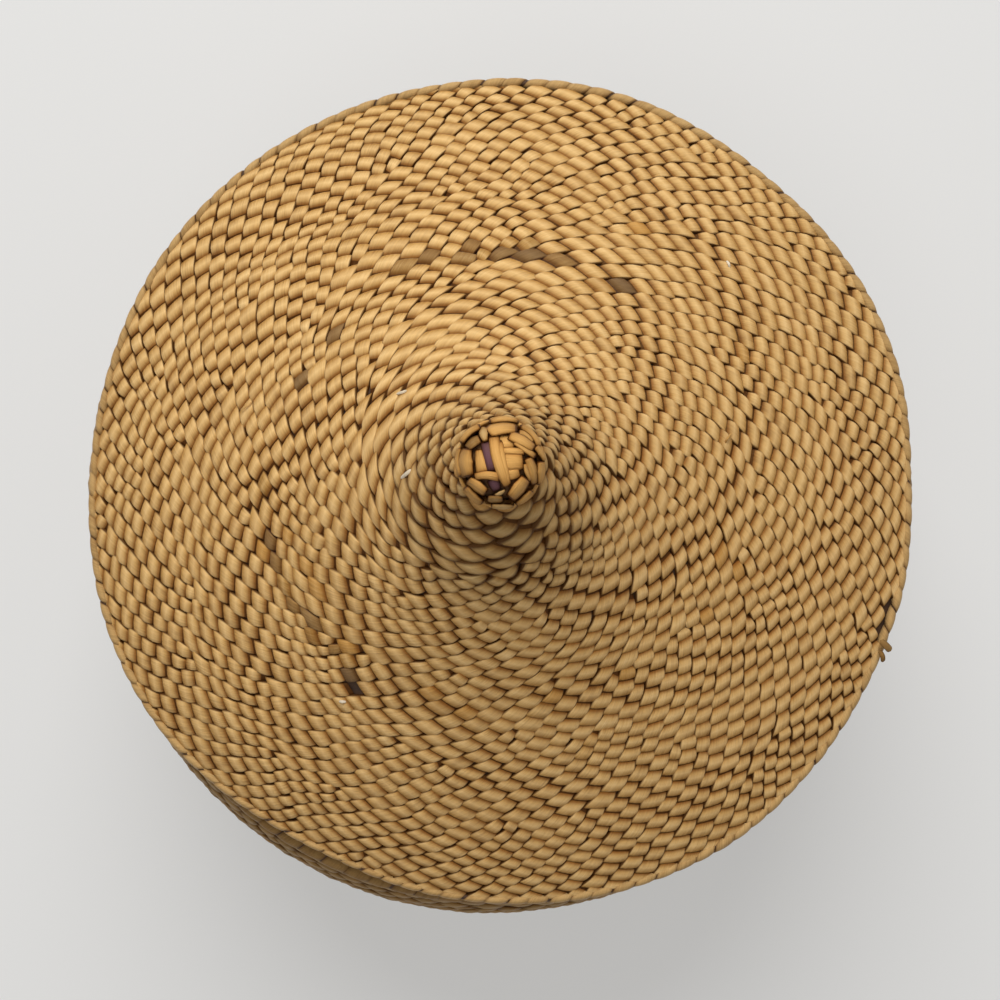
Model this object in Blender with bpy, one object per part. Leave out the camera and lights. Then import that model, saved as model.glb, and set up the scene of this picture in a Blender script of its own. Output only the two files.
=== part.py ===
"""Round palm-leaf basket with a loose conical lid that ends in a plaited knob.

Both halves are twined: pairs of leaf strips are twisted round stiff ribs, row upon row, and
each row is set half a stitch on from the last, so that the stitches climb in slanting lines.
Metres, +Z up, origin in the middle of the circle that the basket stands on.
"""

import math

import bpy
import numpy as np

# Basket wall and base
BASE_RADIUS = 0.066  # middle of the edge row that the basket stands on
WALL_HEIGHT = 0.110  # up to the seat of the lid
BELLY_RADIUS = 0.1043
BELLY_HEIGHT = 0.086
MOUTH_RADIUS = 0.096  # middle of the mouth border
WALL_THICK = 0.0026
BASE_THICK = 0.0024
BASE_LIFT = 0.0016  # underside of the base at its rim, above the table
BASE_RISE = 0.004  # how much higher the middle of the base is domed
START_RADIUS = 0.0125  # plaited start in the middle of the base
WALL_BULGE = 0.0015  # the wall is pushed out on one side
WALL_BULGE_ANGLE = 255.0
WALL_BULGE_WIDTH = 48.0
WALL_STAND = 0.0025  # the wall's foot stands this far outside the middle of the edge row

# Handles of the wall's curve, as shares of the stretch from the foot or the mouth to the belly
FOOT_OUTWARD = 0.72
FOOT_UPWARD = 0.18
BELLY_UPRIGHT = 0.42
MOUTH_OUTWARD = 0.50
MOUTH_DOWNWARD = 0.20

# Borders, which are wrapped rings
EDGE_ROW_WIDTH = 0.0060
EDGE_ROW_HEIGHT = 0.0050
MOUTH_BORDER_WIDTH = 0.0050
MOUTH_BORDER_HEIGHT = 0.0050
LID_BORDER_WIDTH = 0.0048
LID_BORDER_HEIGHT = 0.0040
COLLAR_BORDER_HEIGHT = 0.0032
BORDER_FLAT = 0.6  # share of a border's width that is flat where it bears
BORDER_STITCH = 0.018

# Lid
LID_OVERHANG = 0.004  # outside of the lid border beyond the middle of the mouth border
LID_THICK = 0.0024
LID_SLOPE_RIM = 26.0  # degrees from level, just inside the border
LID_SLOPE_TOP = 58.0  # degrees from level, at the foot of the knob
LID_SLOPE_POWER = 3.5  # the larger, the nearer to the knob the lid steepens
TOP_RADIUS = 0.0082  # where the lid's weave ends at the stem
DYED_OUTER = 0.0560  # ring of dyed rows
DYED_INNER = 0.0480
LID_FLAT = 0.0026  # the lid's edge is pressed in on one side
LID_FLAT_ANGLE = 247.0
LID_FLAT_WIDTH = 36.0
LID_FLAT_POWER = 6  # the larger, the nearer to the edge the pressed-in part stays
COLLAR_PLAY = 0.003  # between the collar's face and the mouth border round it
COLLAR_DEPTH = 0.0130  # below the seat of the lid
COLLAR_THICK = 0.0022

# Knob
STEM_RADIUS = 0.0062  # at its neck
STEM_HEIGHT = 0.0050
HEAD_RADIUS = 0.0072  # bundle under the plaited strips
HEAD_FLATTEN = 0.88  # height of the head against its width
KNOB_LEAN = 0.0046  # the knob leans off the axis, along +Y
KNOB_LEAN_DEPTH = 0.016  # the lean starts this far below the stem
STRIP_WIDTH = 0.0033
STRIP_THICK = 0.0006
STRIP_PITCH = 0.0047
BINDING_THICK = 0.0021
BINDING_HEIGHT = 0.0030
BINDING_STITCH = 0.0052
KNOB_FACETS = 24
STRIP_STATIONS = 25
CORE_TOP = 8.0  # degrees from the top of the head that the core is cut flat

# Weave
LID_ROW = 0.0060
LID_STITCH = 0.0136
WALL_ROW = 0.0064
WALL_STITCH = 0.0150
INCREASE = 6  # ribs are added this many at a time
RELIEF = 0.0006  # a stitch stands out by this much, and its ends lie in by as much
SKEW = 0.55  # a row is shifted along by this many half stitches
BACK_FACETS = 44  # round a plain inner face
START_CELLS = 9  # crossings across the plaited start
START_RELIEF = 0.0004
STEM_RELIEF = 0.0004

# Fits
SEAM = 0.0003  # between pieces that bear on each other
CROSSING = 0.0004  # between strips where one passes over another
LID_SEAT = WALL_HEIGHT + SEAM
LID_RADIUS = MOUTH_RADIUS + LID_OVERHANG
COLLAR_RADIUS = MOUTH_RADIUS - MOUTH_BORDER_WIDTH / 2 - COLLAR_PLAY

# Ways that the end of a wall is cut, as (radial, upward)
UP = (0.0, 1.0)
DOWN = (0.0, -1.0)
LEVEL = (1.0, 0.0)

COLOURS = {
    "palm_leaf": ((0.47, 0.27, 0.10, 1.0), 0.62),
    "palm_leaf_pale": ((0.56, 0.35, 0.15, 1.0), 0.60),
    "palm_leaf_brown": ((0.33, 0.15, 0.05, 1.0), 0.55),
    "palm_leaf_dyed": ((0.12, 0.045, 0.065, 1.0), 0.60),
}


def clear_scene():
    for thing in list(bpy.data.objects):
        bpy.data.objects.remove(thing)


def leaf_material(name):
    if name in bpy.data.materials:
        return bpy.data.materials[name]
    colour, roughness = COLOURS[name]
    material = bpy.data.materials.new(name)
    material.use_nodes = True
    shader = material.node_tree.nodes["Principled BSDF"]
    shader.inputs["Base Color"].default_value = colour
    shader.inputs["Roughness"].default_value = roughness
    shader.inputs["Metallic"].default_value = 0.0
    return material


def add_holder(name, height):
    """An empty on the basket's axis that carries the pieces of one half."""
    holder = bpy.data.objects.new(name, None)
    holder.location = (0.0, 0.0, height)
    bpy.context.collection.objects.link(holder)
    bpy.context.view_layer.update()
    return holder


def add_piece(name, points, faces, material, holder):
    """One closed piece from its points and triangles, with the faces turned outwards."""
    points = np.asarray(points, dtype=float)
    faces = np.asarray(faces)
    a, b, c = (points[faces[:, i]] for i in range(3))
    if np.einsum("ij,ij->", a, np.cross(b, c)) < 0.0:
        faces = faces[:, ::-1]
    mesh = bpy.data.meshes.new(name)
    mesh.from_pydata(points.tolist(), [], faces.tolist())
    mesh.materials.append(leaf_material(material))
    mesh.shade_smooth()
    mesh.set_sharp_from_angle(angle=math.radians(24))
    piece = bpy.data.objects.new(name, mesh)
    bpy.context.collection.objects.link(piece)
    piece.parent = holder
    piece.matrix_parent_inverse = holder.matrix_world.inverted()
    return piece


def smooth_step(t):
    t = np.clip(t, 0.0, 1.0)
    return t * t * (3.0 - 2.0 * t)


def hump(angle, middle, width):
    """One at the middle angle, falling smoothly to nothing at the width to either side."""
    off = np.abs((np.degrees(angle) - middle + 180.0) % 360.0 - 180.0)
    return 1.0 - smooth_step(off / width)


def bezier(points, count):
    """Points along a cubic curve through its first and last point, with two handles."""
    t = np.linspace(0.0, 1.0, count)[:, None]
    a, b, c, d = (np.array(p) for p in points)
    return a * (1 - t) ** 3 + 3 * b * t * (1 - t) ** 2 + 3 * c * t**2 * (1 - t) + d * t**3


def wall_profile():
    """Outer line of the wall, from the edge row out over the belly and in to the mouth."""
    foot = (BASE_RADIUS + WALL_STAND, EDGE_ROW_HEIGHT + SEAM)
    belly = (BELLY_RADIUS, BELLY_HEIGHT)
    mouth = (MOUTH_RADIUS + WALL_THICK / 2, WALL_HEIGHT - MOUTH_BORDER_HEIGHT - SEAM)
    reach = BELLY_RADIUS - foot[0]
    climb = BELLY_HEIGHT - foot[1]
    tuck = mouth[1] - BELLY_HEIGHT
    leave = (foot[0] + FOOT_OUTWARD * reach, foot[1] + FOOT_UPWARD * climb)
    below = (BELLY_RADIUS, BELLY_HEIGHT - BELLY_UPRIGHT * climb)
    above = (BELLY_RADIUS, BELLY_HEIGHT + BELLY_UPRIGHT * tuck)
    arrive = (mouth[0] + MOUTH_OUTWARD * (BELLY_RADIUS - mouth[0]), mouth[1] - MOUTH_DOWNWARD * tuck)
    lower = bezier((foot, leave, below, belly), 200)
    upper = bezier((belly, above, arrive, mouth), 80)
    return np.concatenate([lower, upper[1:]])


def base_profile():
    """Underside of the base from the plaited start to its rim, domed up off the table."""
    radius = np.linspace(START_RADIUS + SEAM, BASE_RADIUS - EDGE_ROW_WIDTH / 2 - SEAM, 120)
    return np.stack([radius, base_underside(radius)], axis=1)


def base_underside(radius):
    rim = BASE_RADIUS - EDGE_ROW_WIDTH / 2 - SEAM
    return BASE_LIFT + BASE_RISE * smooth_step(1.0 - radius / rim)


def lid_profile():
    """Outer line of the lid from its border up to the stem.

    The slope grows with a power of the distance from the rim, and the heights are its sum.
    """
    radius = np.linspace(LID_RADIUS - LID_BORDER_WIDTH - SEAM, TOP_RADIUS, 400)
    share = (LID_RADIUS - radius) / (LID_RADIUS - TOP_RADIUS)
    slope = LID_SLOPE_RIM + (LID_SLOPE_TOP - LID_SLOPE_RIM) * share**LID_SLOPE_POWER
    rise = np.tan(np.radians(slope)) * (radius[0] - radius[1])
    height = LID_SEAT + LID_BORDER_HEIGHT + np.cumsum(rise) - rise[0]
    return np.stack([radius, height], axis=1)


LID_LINE = lid_profile()
STEM_FOOT = LID_LINE[-1, 1] + SEAM
NECK = STEM_FOOT + STEM_HEIGHT
HEAD_MIDDLE = NECK + SEAM + HEAD_FLATTEN * math.sqrt(HEAD_RADIUS**2 - STEM_RADIUS**2)


def lean(height):
    """Sideways shift of the lid's tip: none below the last rows, and full from the neck up."""
    return KNOB_LEAN * smooth_step(1.0 - (NECK - height) / (STEM_HEIGHT + KNOB_LEAN_DEPTH))


def on_wall(radius, height, angle):
    """Places on the basket, with its bulge, which is widest at the belly."""
    share = smooth_step(1.0 - np.abs(height - BELLY_HEIGHT) / BELLY_HEIGHT)
    radius = radius + WALL_BULGE * share * hump(angle, WALL_BULGE_ANGLE, WALL_BULGE_WIDTH)
    height = np.broadcast_to(height, radius.shape)
    return np.stack([radius * np.cos(angle), radius * np.sin(angle), height], axis=1)


def on_lid(radius, height, angle):
    """Places on the lid, with its pressed-in edge and its leaning tip."""
    share = np.clip(radius / LID_RADIUS, 0.0, 1.0) ** LID_FLAT_POWER
    radius = radius - LID_FLAT * share * hump(angle, LID_FLAT_ANGLE, LID_FLAT_WIDTH)
    height = np.broadcast_to(height, radius.shape)
    return np.stack([radius * np.cos(angle), radius * np.sin(angle) + lean(height), height], axis=1)


def along(profile, shares):
    """Points and outward normals of a profile at shares of its length, and the length."""
    length = np.concatenate([[0.0], np.cumsum(np.hypot(*np.diff(profile, axis=0).T))])
    run = np.gradient(profile, length, axis=0)
    spots = np.asarray(shares) * length[-1]
    point = np.stack([np.interp(spots, length, profile[:, i]) for i in (0, 1)], axis=1)
    way = np.stack([np.interp(spots, length, run[:, i]) for i in (0, 1)], axis=1)
    way /= np.linalg.norm(way, axis=1)[:, None]
    return point, np.stack([way[:, 1], -way[:, 0]], axis=1), length[-1]


def cut_profile(profile, outer, inner):
    """The stretch of a profile between two radii, or its own end where that comes first."""
    outer = min(outer, profile[:, 0].max())
    inner = max(inner, profile[:, 0].min())
    radius = np.linspace(outer, inner, len(profile))
    return np.stack([radius, np.interp(radius, profile[::-1, 0], profile[::-1, 1])], axis=1)


def zip_rings(ring_a, ring_b, faces):
    """Fill the strip between two closed rings of points, which may differ in number.

    A ring is its first index, its angles and its low flags. The strip is filled by walking
    round both rings together. At each step the shorter new edge is taken, with a preference
    for one between two low points, so that each high point is the top of a stitch of its own.
    """
    turn = 2.0 * math.pi
    first_a, angle_a, low_a = ring_a
    first_b, angle_b, low_b = ring_b
    count_a, count_b = len(angle_a), len(angle_b)
    nearest = int(np.argmin(np.abs((angle_b - angle_a[0] + math.pi) % turn - math.pi)))
    shift = turn * round((angle_a[0] - angle_b[nearest]) / turn)
    pitch = turn / max(count_a, count_b)
    i, j = 0, 0
    while i < count_a or j < count_b:
        a, a_next = i % count_a, (i + 1) % count_a
        b, b_next = (nearest + j) % count_b, (nearest + j + 1) % count_b
        at_a = angle_a[a] + turn * (i // count_a)
        at_a_next = angle_a[a_next] + turn * ((i + 1) // count_a)
        at_b = angle_b[b] + shift + turn * ((nearest + j) // count_b)
        at_b_next = angle_b[b_next] + shift + turn * ((nearest + j + 1) // count_b)
        cost_a = abs(at_a_next - at_b) - (pitch if low_a[a_next] and low_b[b] else 0.0)
        cost_b = abs(at_b_next - at_a) - (pitch if low_a[a] and low_b[b_next] else 0.0)
        if j >= count_b or (i < count_a and cost_a <= cost_b):
            faces.append((first_a + a, first_a + a_next, first_b + b))
            i += 1
        else:
            faces.append((first_a + a, first_b + b_next, first_b + b))
            j += 1


def rib_count(radius, stitch):
    """Stitches in a row of this radius. They come in steps, as ribs are added in the weaving."""
    return max(2 * INCREASE, INCREASE * round(2.0 * math.pi * radius / (stitch * INCREASE)))


def woven_shell(name, profile, row, stitch, thick, shape, material, holder, cuts=(None, None)):
    """A twined wall: a turned shell with one raised lozenge on its outside for each stitch.

    In each row every other point stands out and the rest lie in. The next row swaps them and
    is shifted along by the skew. The back is plain. The first and the last end are square to
    the wall, or run along the direction that cuts gives for them.
    """
    rows = max(2, round(along(profile, [0.0])[2] / row))
    rings = []
    for k, (point, normal) in enumerate(zip(*along(profile, np.linspace(0.0, 1.0, rows + 1))[:2])):
        count = 2 * rib_count(point[0], stitch)
        angle = (np.arange(count) + SKEW * k) * 2.0 * math.pi / count
        high = (np.arange(count) + k) % 2 == 0
        out = np.where(high, RELIEF, -RELIEF) * (0.0 if k in (0, rows) else 1.0)
        spots = shape(point[0] + normal[0] * out, point[1] + normal[1] * out, angle)
        rings.append((spots, angle, ~high))
    backs = max(2, rows // 2)
    for k, (point, normal) in enumerate(zip(*along(profile, np.linspace(1.0, 0.0, backs + 1))[:2])):
        if k == 0 and cuts[1]:
            normal = np.array(cuts[1])
        if k == backs and cuts[0]:
            normal = np.array(cuts[0])
        facets = min(BACK_FACETS, 2 * rib_count(point[0], stitch))
        angle = np.arange(facets) * 2.0 * math.pi / facets
        spots = shape(point[0] - normal[0] * thick + 0.0 * angle, point[1] - normal[1] * thick, angle)
        rings.append((spots, angle, np.ones(facets, bool)))
    faces, spans, first = [], [], 0
    for spots, angle, low in rings:
        spans.append((first, angle, low))
        first += len(angle)
    for here, after in zip(spans, spans[1:] + spans[:1]):
        zip_rings(here, after, faces)
    points = np.concatenate([spots for spots, _, _ in rings])
    return add_piece(name, points, faces, material, holder)


def bound_ring(name, middle, foot, width, height, stitch, shape, material, holder):
    """A border: a six-sided ring that is flat above and below, wrapped with slanting stitches.

    Every other station round the ring is drawn in, and each station leans along the ring as
    it goes over the section, as a wrapping strip does.
    """
    across = np.array([1.0, BORDER_FLAT, -BORDER_FLAT, -1.0, -BORDER_FLAT, BORDER_FLAT])
    upward = np.array([0.0, 1.0, 1.0, 0.0, -1.0, -1.0])
    stations = 2 * round(2.0 * math.pi * middle / stitch)
    section = len(across)
    points, faces = [], []
    for i in range(stations):
        tight = RELIEF if i % 2 else 0.0
        angle = (i + SKEW * (upward + 1.0)) * 2.0 * math.pi / stations
        radius = middle + across * (width / 2 - tight)
        points.append(shape(radius, foot + height / 2 + upward * height / 2, angle))
        for m in range(section):
            here, side = i * section + m, i * section + (m + 1) % section
            ahead = (i + 1) % stations * section
            faces.append((here, side, ahead + (m + 1) % section))
            faces.append((here, ahead + (m + 1) % section, ahead + m))
    return add_piece(name, np.concatenate(points), faces, material, holder)


def plaited_start(name, radius, thick, material, holder):
    """The start of the base: ribs crossed over and under in a square that is drawn out round.

    A square grid is mapped onto a disc, and its inner points stand out and lie in by turns.
    """
    side = START_CELLS + 1
    line = np.linspace(-1.0, 1.0, side)
    u, v = np.meshgrid(line, line, indexing="ij")
    x = u * np.sqrt(1.0 - v * v / 2.0) * radius
    y = v * np.sqrt(1.0 - u * u / 2.0) * radius
    i, j = np.indices(u.shape)
    inside = (i > 0) & (j > 0) & (i < START_CELLS) & (j < START_CELLS)
    over = np.where(inside, np.where((i + j) % 2, 1.0, -1.0), 0.0) * START_RELIEF
    under = base_underside(np.hypot(x, y))
    low = np.stack([x, y, under - over], axis=2).reshape(-1, 3)
    high = np.stack([x, y, under + thick + over], axis=2).reshape(-1, 3)
    faces = []
    for a in range(START_CELLS):
        for b in range(START_CELLS):
            p, q, r, s = a * side + b, a * side + b + 1, (a + 1) * side + b + 1, (a + 1) * side + b
            if (a + b) % 2:
                p, q, r, s = q, r, s, p
            faces += [(p, q, r), (p, r, s)]
            faces += [(p + side**2, r + side**2, q + side**2), (p + side**2, s + side**2, r + side**2)]
    steps = range(START_CELLS)
    rim = [b for b in steps] + [START_CELLS + a * side for a in steps]
    rim += [side**2 - 1 - b for b in steps] + [(START_CELLS - a) * side for a in steps]
    for here, after in zip(rim, rim[1:] + rim[:1]):
        faces += [(after, here, here + side**2), (after, here + side**2, after + side**2)]
    return add_piece(name, np.concatenate([low, high]), faces, material, holder)


def turned_solid(name, profile, relief, material, holder):
    """A turned solid, closed at its foot and its top, with stitches pressed into its side."""
    facets = KNOB_FACETS
    turn = 2.0 * math.pi / facets
    points = [[(0.0, lean(profile[0][1]), profile[0][1])]]
    faces = []
    for k, (radius, height) in enumerate(profile):
        angle = (np.arange(facets) + SKEW * k * (relief > 0.0)) * turn
        swell = relief if 0 < k < len(profile) - 1 else 0.0
        out = radius + np.where((np.arange(facets) + k) % 2 == 0, swell, -swell)
        spots = (out * np.cos(angle), out * np.sin(angle) + lean(height), np.full(facets, height))
        points.append(np.stack(spots, axis=1))
    points.append([(0.0, lean(profile[-1][1]), profile[-1][1])])
    last = 1 + facets * len(profile)
    for m in range(facets):
        n = (m + 1) % facets
        faces += [(0, 1 + n, 1 + m), (last, last - facets + m, last - facets + n)]
        for k in range(len(profile) - 1):
            a, b = 1 + k * facets, 1 + (k + 1) * facets
            if (m + k) % 2:
                faces += [(a + m, a + n, b + m), (a + n, b + n, b + m)]
            else:
                faces += [(a + m, a + n, b + n), (a + m, b + n, b + m)]
    return add_piece(name, np.concatenate(points), faces, material, holder)


def knob_strip(name, lane, crosswise, material, holder):
    """One flat strip of the plait over the head, from the binding up and down to it again.

    Its two edges are circles of the head at a fixed distance from its middle plane. Where it
    crosses the three strips of the other set it runs over and under them by turns, and it
    changes level only in the spaces between them.
    """
    shell = HEAD_RADIUS + SEAM
    low = (BINDING_HEIGHT / 2 + SEAM) / HEAD_FLATTEN
    clear = 0.5 * STRIP_WIDTH / STRIP_PITCH
    first = 1.0 if (lane % 2 == 0) != crosswise else 0.0
    under, over = [], []
    for across in (-0.5, 0.0, 0.5):
        aside = lane * STRIP_PITCH + across * STRIP_WIDTH
        reach = math.sqrt(shell**2 - aside**2)
        arc = np.linspace(-1.0, 1.0, STRIP_STATIONS) * math.acos(low / reach)
        spots = np.stack([0.0 * arc + aside, reach * np.sin(arc), reach * np.cos(arc)], axis=1)
        crossed = np.abs(spots[:, 1:2]) / STRIP_PITCH
        level = first + (1.0 - 2.0 * first) * smooth_step((crossed - clear) / (1.0 - 2.0 * clear))
        lift = (STRIP_THICK + CROSSING) * level
        under.append(spots / shell * (shell + lift))
        over.append(spots / shell * (shell + lift + STRIP_THICK))
    section = under + over[::-1]
    points = np.stack(section, axis=1).reshape(-1, 3)
    if crosswise:
        points = points[:, (1, 0, 2)]
    points = points * (1.0, 1.0, HEAD_FLATTEN) + (0.0, KNOB_LEAN, HEAD_MIDDLE)
    sides = len(section)
    faces = []
    for k in range(STRIP_STATIONS - 1):
        for m in range(sides):
            here, side = sides * k + m, sides * k + (m + 1) % sides
            faces += [(here, here + sides, side + sides), (here, side + sides, side)]
    for start, turned in ((0, 1), (sides * (STRIP_STATIONS - 1), -1)):
        for a, b, c in ((0, 1, 4), (0, 4, 5), (1, 2, 3), (1, 3, 4)):
            faces.append((start + a, start + (b, c)[turned < 0], start + (c, b)[turned < 0]))
    return add_piece(name, points, faces, material, holder)


def build_basket(holder):
    bound_ring("base_edge_row", BASE_RADIUS, 0.0, EDGE_ROW_WIDTH, EDGE_ROW_HEIGHT,
               BORDER_STITCH, on_wall, "palm_leaf", holder)
    woven_shell("base_weave", base_profile(), WALL_ROW, WALL_STITCH, BASE_THICK,
                on_wall, "palm_leaf", holder, cuts=(DOWN, DOWN))
    plaited_start("base_start", START_RADIUS, BASE_THICK, "palm_leaf_pale", holder)
    woven_shell("wall_weave", wall_profile(), WALL_ROW, WALL_STITCH, WALL_THICK,
                on_wall, "palm_leaf", holder, cuts=(LEVEL, LEVEL))
    bound_ring("mouth_border", MOUTH_RADIUS, WALL_HEIGHT - MOUTH_BORDER_HEIGHT, MOUTH_BORDER_WIDTH,
               MOUTH_BORDER_HEIGHT, BORDER_STITCH, on_wall, "palm_leaf_pale", holder)


def build_lid(holder):
    bound_ring("lid_border", LID_RADIUS - LID_BORDER_WIDTH / 2, LID_SEAT, LID_BORDER_WIDTH,
               LID_BORDER_HEIGHT, BORDER_STITCH, on_lid, "palm_leaf_pale", holder)
    for name, outer, inner, first_cut, material in (
        ("lid_lower_weave", LID_RADIUS, DYED_OUTER + SEAM, UP, "palm_leaf"),
        ("lid_dyed_rows", DYED_OUTER, DYED_INNER, None, "palm_leaf_dyed"),
        ("lid_upper_weave", DYED_INNER - SEAM, 0.0, None, "palm_leaf"),
    ):
        woven_shell(name, cut_profile(LID_LINE, outer, inner), LID_ROW, LID_STITCH, LID_THICK,
                    on_lid, material, holder, cuts=(first_cut, None))


def build_collar(holder):
    """The collar under the lid, which keeps it from sliding off the mouth."""
    foot = LID_SEAT - COLLAR_DEPTH
    roof = np.interp(COLLAR_RADIUS, LID_LINE[::-1, 0], LID_LINE[::-1, 1])
    top = roof - (LID_THICK + RELIEF) / math.cos(math.radians(LID_SLOPE_RIM)) - SEAM
    line = np.linspace((COLLAR_RADIUS, foot + COLLAR_BORDER_HEIGHT + SEAM), (COLLAR_RADIUS, top), 9)
    woven_shell("lid_collar", line, LID_ROW, LID_STITCH, COLLAR_THICK, on_lid, "palm_leaf", holder)
    bound_ring("collar_border", COLLAR_RADIUS - COLLAR_THICK / 2, foot, COLLAR_THICK + 2 * RELIEF,
               COLLAR_BORDER_HEIGHT, BORDER_STITCH, on_lid, "palm_leaf_pale", holder)


def build_knob(holder):
    """The stem narrows upwards with the square of the way left, and carries a flattened ball."""
    flare = TOP_RADIUS - RELIEF - STEM_RADIUS
    stem = [(STEM_RADIUS + flare * (1.0 - t) ** 2, STEM_FOOT + STEM_HEIGHT * t)
            for t in np.linspace(0.0, 1.0, 4)]
    turned_solid("knob_stem", stem, STEM_RELIEF, "palm_leaf", holder)
    arc = np.linspace(math.asin(STEM_RADIUS / HEAD_RADIUS) - math.pi, -math.radians(CORE_TOP), 11)
    head = [(-HEAD_RADIUS * math.sin(a), HEAD_MIDDLE + HEAD_RADIUS * HEAD_FLATTEN * math.cos(a))
            for a in arc]
    turned_solid("knob_core", head, 0.0, "palm_leaf_brown", holder)
    bound_ring("knob_binding", HEAD_RADIUS + SEAM + BINDING_THICK / 2, HEAD_MIDDLE - BINDING_HEIGHT / 2,
               BINDING_THICK, BINDING_HEIGHT, BINDING_STITCH, on_head, "palm_leaf_brown", holder)
    for lane, side in ((-1, "left"), (0, "middle"), (1, "right")):
        dyed = "palm_leaf_dyed" if lane < 0 else "palm_leaf_brown"
        knob_strip(f"knob_strip_{side}", lane, False, dyed, holder)
    for lane, side in ((-1, "front"), (0, "cross"), (1, "rear")):
        knob_strip(f"knob_strip_{side}", lane, True, "palm_leaf_brown", holder)


def on_head(radius, height, angle):
    """Places round the knob's head, which has the full lean."""
    height = np.broadcast_to(height, radius.shape)
    return np.stack([radius * np.cos(angle), radius * np.sin(angle) + KNOB_LEAN, height], axis=1)


def build():
    clear_scene()
    build_basket(add_holder("basket_axis", 0.0))
    lid_axis = add_holder("lid_axis", LID_SEAT)
    build_lid(lid_axis)
    build_collar(lid_axis)
    build_knob(lid_axis)


build()
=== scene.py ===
"""Looks of the lidded basket: its twined leaf, stitch by stitch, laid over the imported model.

Metres, +Z up. A stitch is one visible passage of a leaf strip over a rib. Its places are given
on a sheet that follows the weave: "right" runs along the row in the weaver's direction, "up"
runs from the start of the work to its edge, and "out" stands off the face that is seen.
"""

import math

import bpy
import numpy as np
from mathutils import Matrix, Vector


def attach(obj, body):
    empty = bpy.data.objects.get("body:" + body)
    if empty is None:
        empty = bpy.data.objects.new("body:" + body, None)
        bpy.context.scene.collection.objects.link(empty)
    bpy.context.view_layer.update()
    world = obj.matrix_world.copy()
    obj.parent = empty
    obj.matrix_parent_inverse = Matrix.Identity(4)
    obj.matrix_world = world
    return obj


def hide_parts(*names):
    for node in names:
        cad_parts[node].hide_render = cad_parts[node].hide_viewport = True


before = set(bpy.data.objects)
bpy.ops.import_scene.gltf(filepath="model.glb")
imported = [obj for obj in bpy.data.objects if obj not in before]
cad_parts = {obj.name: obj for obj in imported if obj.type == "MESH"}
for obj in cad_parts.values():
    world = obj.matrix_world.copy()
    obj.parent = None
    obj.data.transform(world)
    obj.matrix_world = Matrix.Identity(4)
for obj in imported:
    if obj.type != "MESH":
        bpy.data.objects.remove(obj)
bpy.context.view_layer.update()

TURN = 2.0 * math.pi
MM = 0.001

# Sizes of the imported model
BASE_RADIUS = 0.066
WALL_HEIGHT = 0.110
BELLY_RADIUS = 0.1043
BELLY_HEIGHT = 0.086
MOUTH_RADIUS = 0.096
WALL_THICK = 0.0026
BASE_THICK = 0.0024
BASE_LIFT = 0.0016
BASE_RISE = 0.004
START_RADIUS = 0.0125
WALL_BULGE = (0.0015, 255.0, 48.0)  # size, and middle angle and half width in degrees
MOUTH_BORDER = (0.0050, 0.0050)  # width and height
EDGE_ROW = (0.0060, 0.0050)
SEAM = 0.0003  # between neighbouring solids
LID_SEAT = WALL_HEIGHT + SEAM
LID_RADIUS = 0.100
LID_BORDER_WIDTH = 0.0048
LID_BORDER_HEIGHT = 0.0040
LID_THICK = 0.0024
LID_SLOPE_RIM = 26.0  # degrees, at the rim and at the top
LID_SLOPE_TOP = 58.0
LID_SLOPE_POWER = 3.5
TOP_RADIUS = 0.0082
DYED_OUTER = 0.0560
DYED_INNER = 0.0480
LID_FLAT = (0.0026, 247.0, 36.0)
LID_FLAT_POWER = 6
COLLAR_RADIUS = 0.0905
COLLAR_DEPTH = 0.0130
COLLAR_THICK = 0.0022
COLLAR_BORDER = (0.0034, 0.0032)
STEM_RADIUS = 0.0062
STEM_HEIGHT = 0.0050
HEAD_RADIUS = 0.0072
HEAD_FLATTEN = 0.88
KNOB_LEAN = 0.0046
KNOB_LEAN_DEPTH = 0.016

# Slow waves of the lid's edge, in or out: size, middle angle and half width in degrees
LID_WAVES = ((0.0011, 28.0, 26.0), (0.0010, 74.0, 28.0), (-0.0012, 172.0, 32.0),
             (-0.0014, 236.0, 34.0), (-0.0010, 274.0, 20.0), (0.0006, 305.0, 16.0),
             (-0.0005, 335.0, 18.0), (-0.0009, 0.0, 16.0))

# Weave
ROW = 0.00286  # from one row to the next
FEWEST = 7  # stitches in a row
SHEET_DEPTH = 0.85 * MM  # the dark ribs and strips under the stitches
RIM_ROLL = (0.0025, 0.0032)  # width and height of the lid's whipped edge
RIM_TUCK = 0.0011  # how far the lid's last row runs under the whipped edge
FOOT_TUCK = 0.0024  # how far the wall's first row runs down behind the edge row
BASE_TUCK = 0.0008  # how far the base runs into the edge row
CORE_DEPTH = 0.45 * MM  # the plain core under a whipped border's strips
STRIP_SHELL = 0.0078  # radius of the head that the knob's strips are laid on
WRAPPED = (-62.0, 14.0)  # part of the head that is wrapped, in degrees over its widest place
WRAP_LIFT = 0.9 * MM  # of that wrapping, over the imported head

# Length of a stitch along its row, on each face
LID_STITCH = 0.00570
STEM_STITCH = 0.0044
LID_LINING_STITCH = 0.00575
COLLAR_STITCH = 0.0058
WALL_STITCH = 0.0062
BASE_STITCH = 0.0060
HEAD_STITCH = 0.0046

# From one wrap of a whipped border to the next
LID_WRAP = 0.0052
COLLAR_WRAP = 0.0056
MOUTH_WRAP = 0.0058
BASE_WRAP = 0.0062

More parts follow.
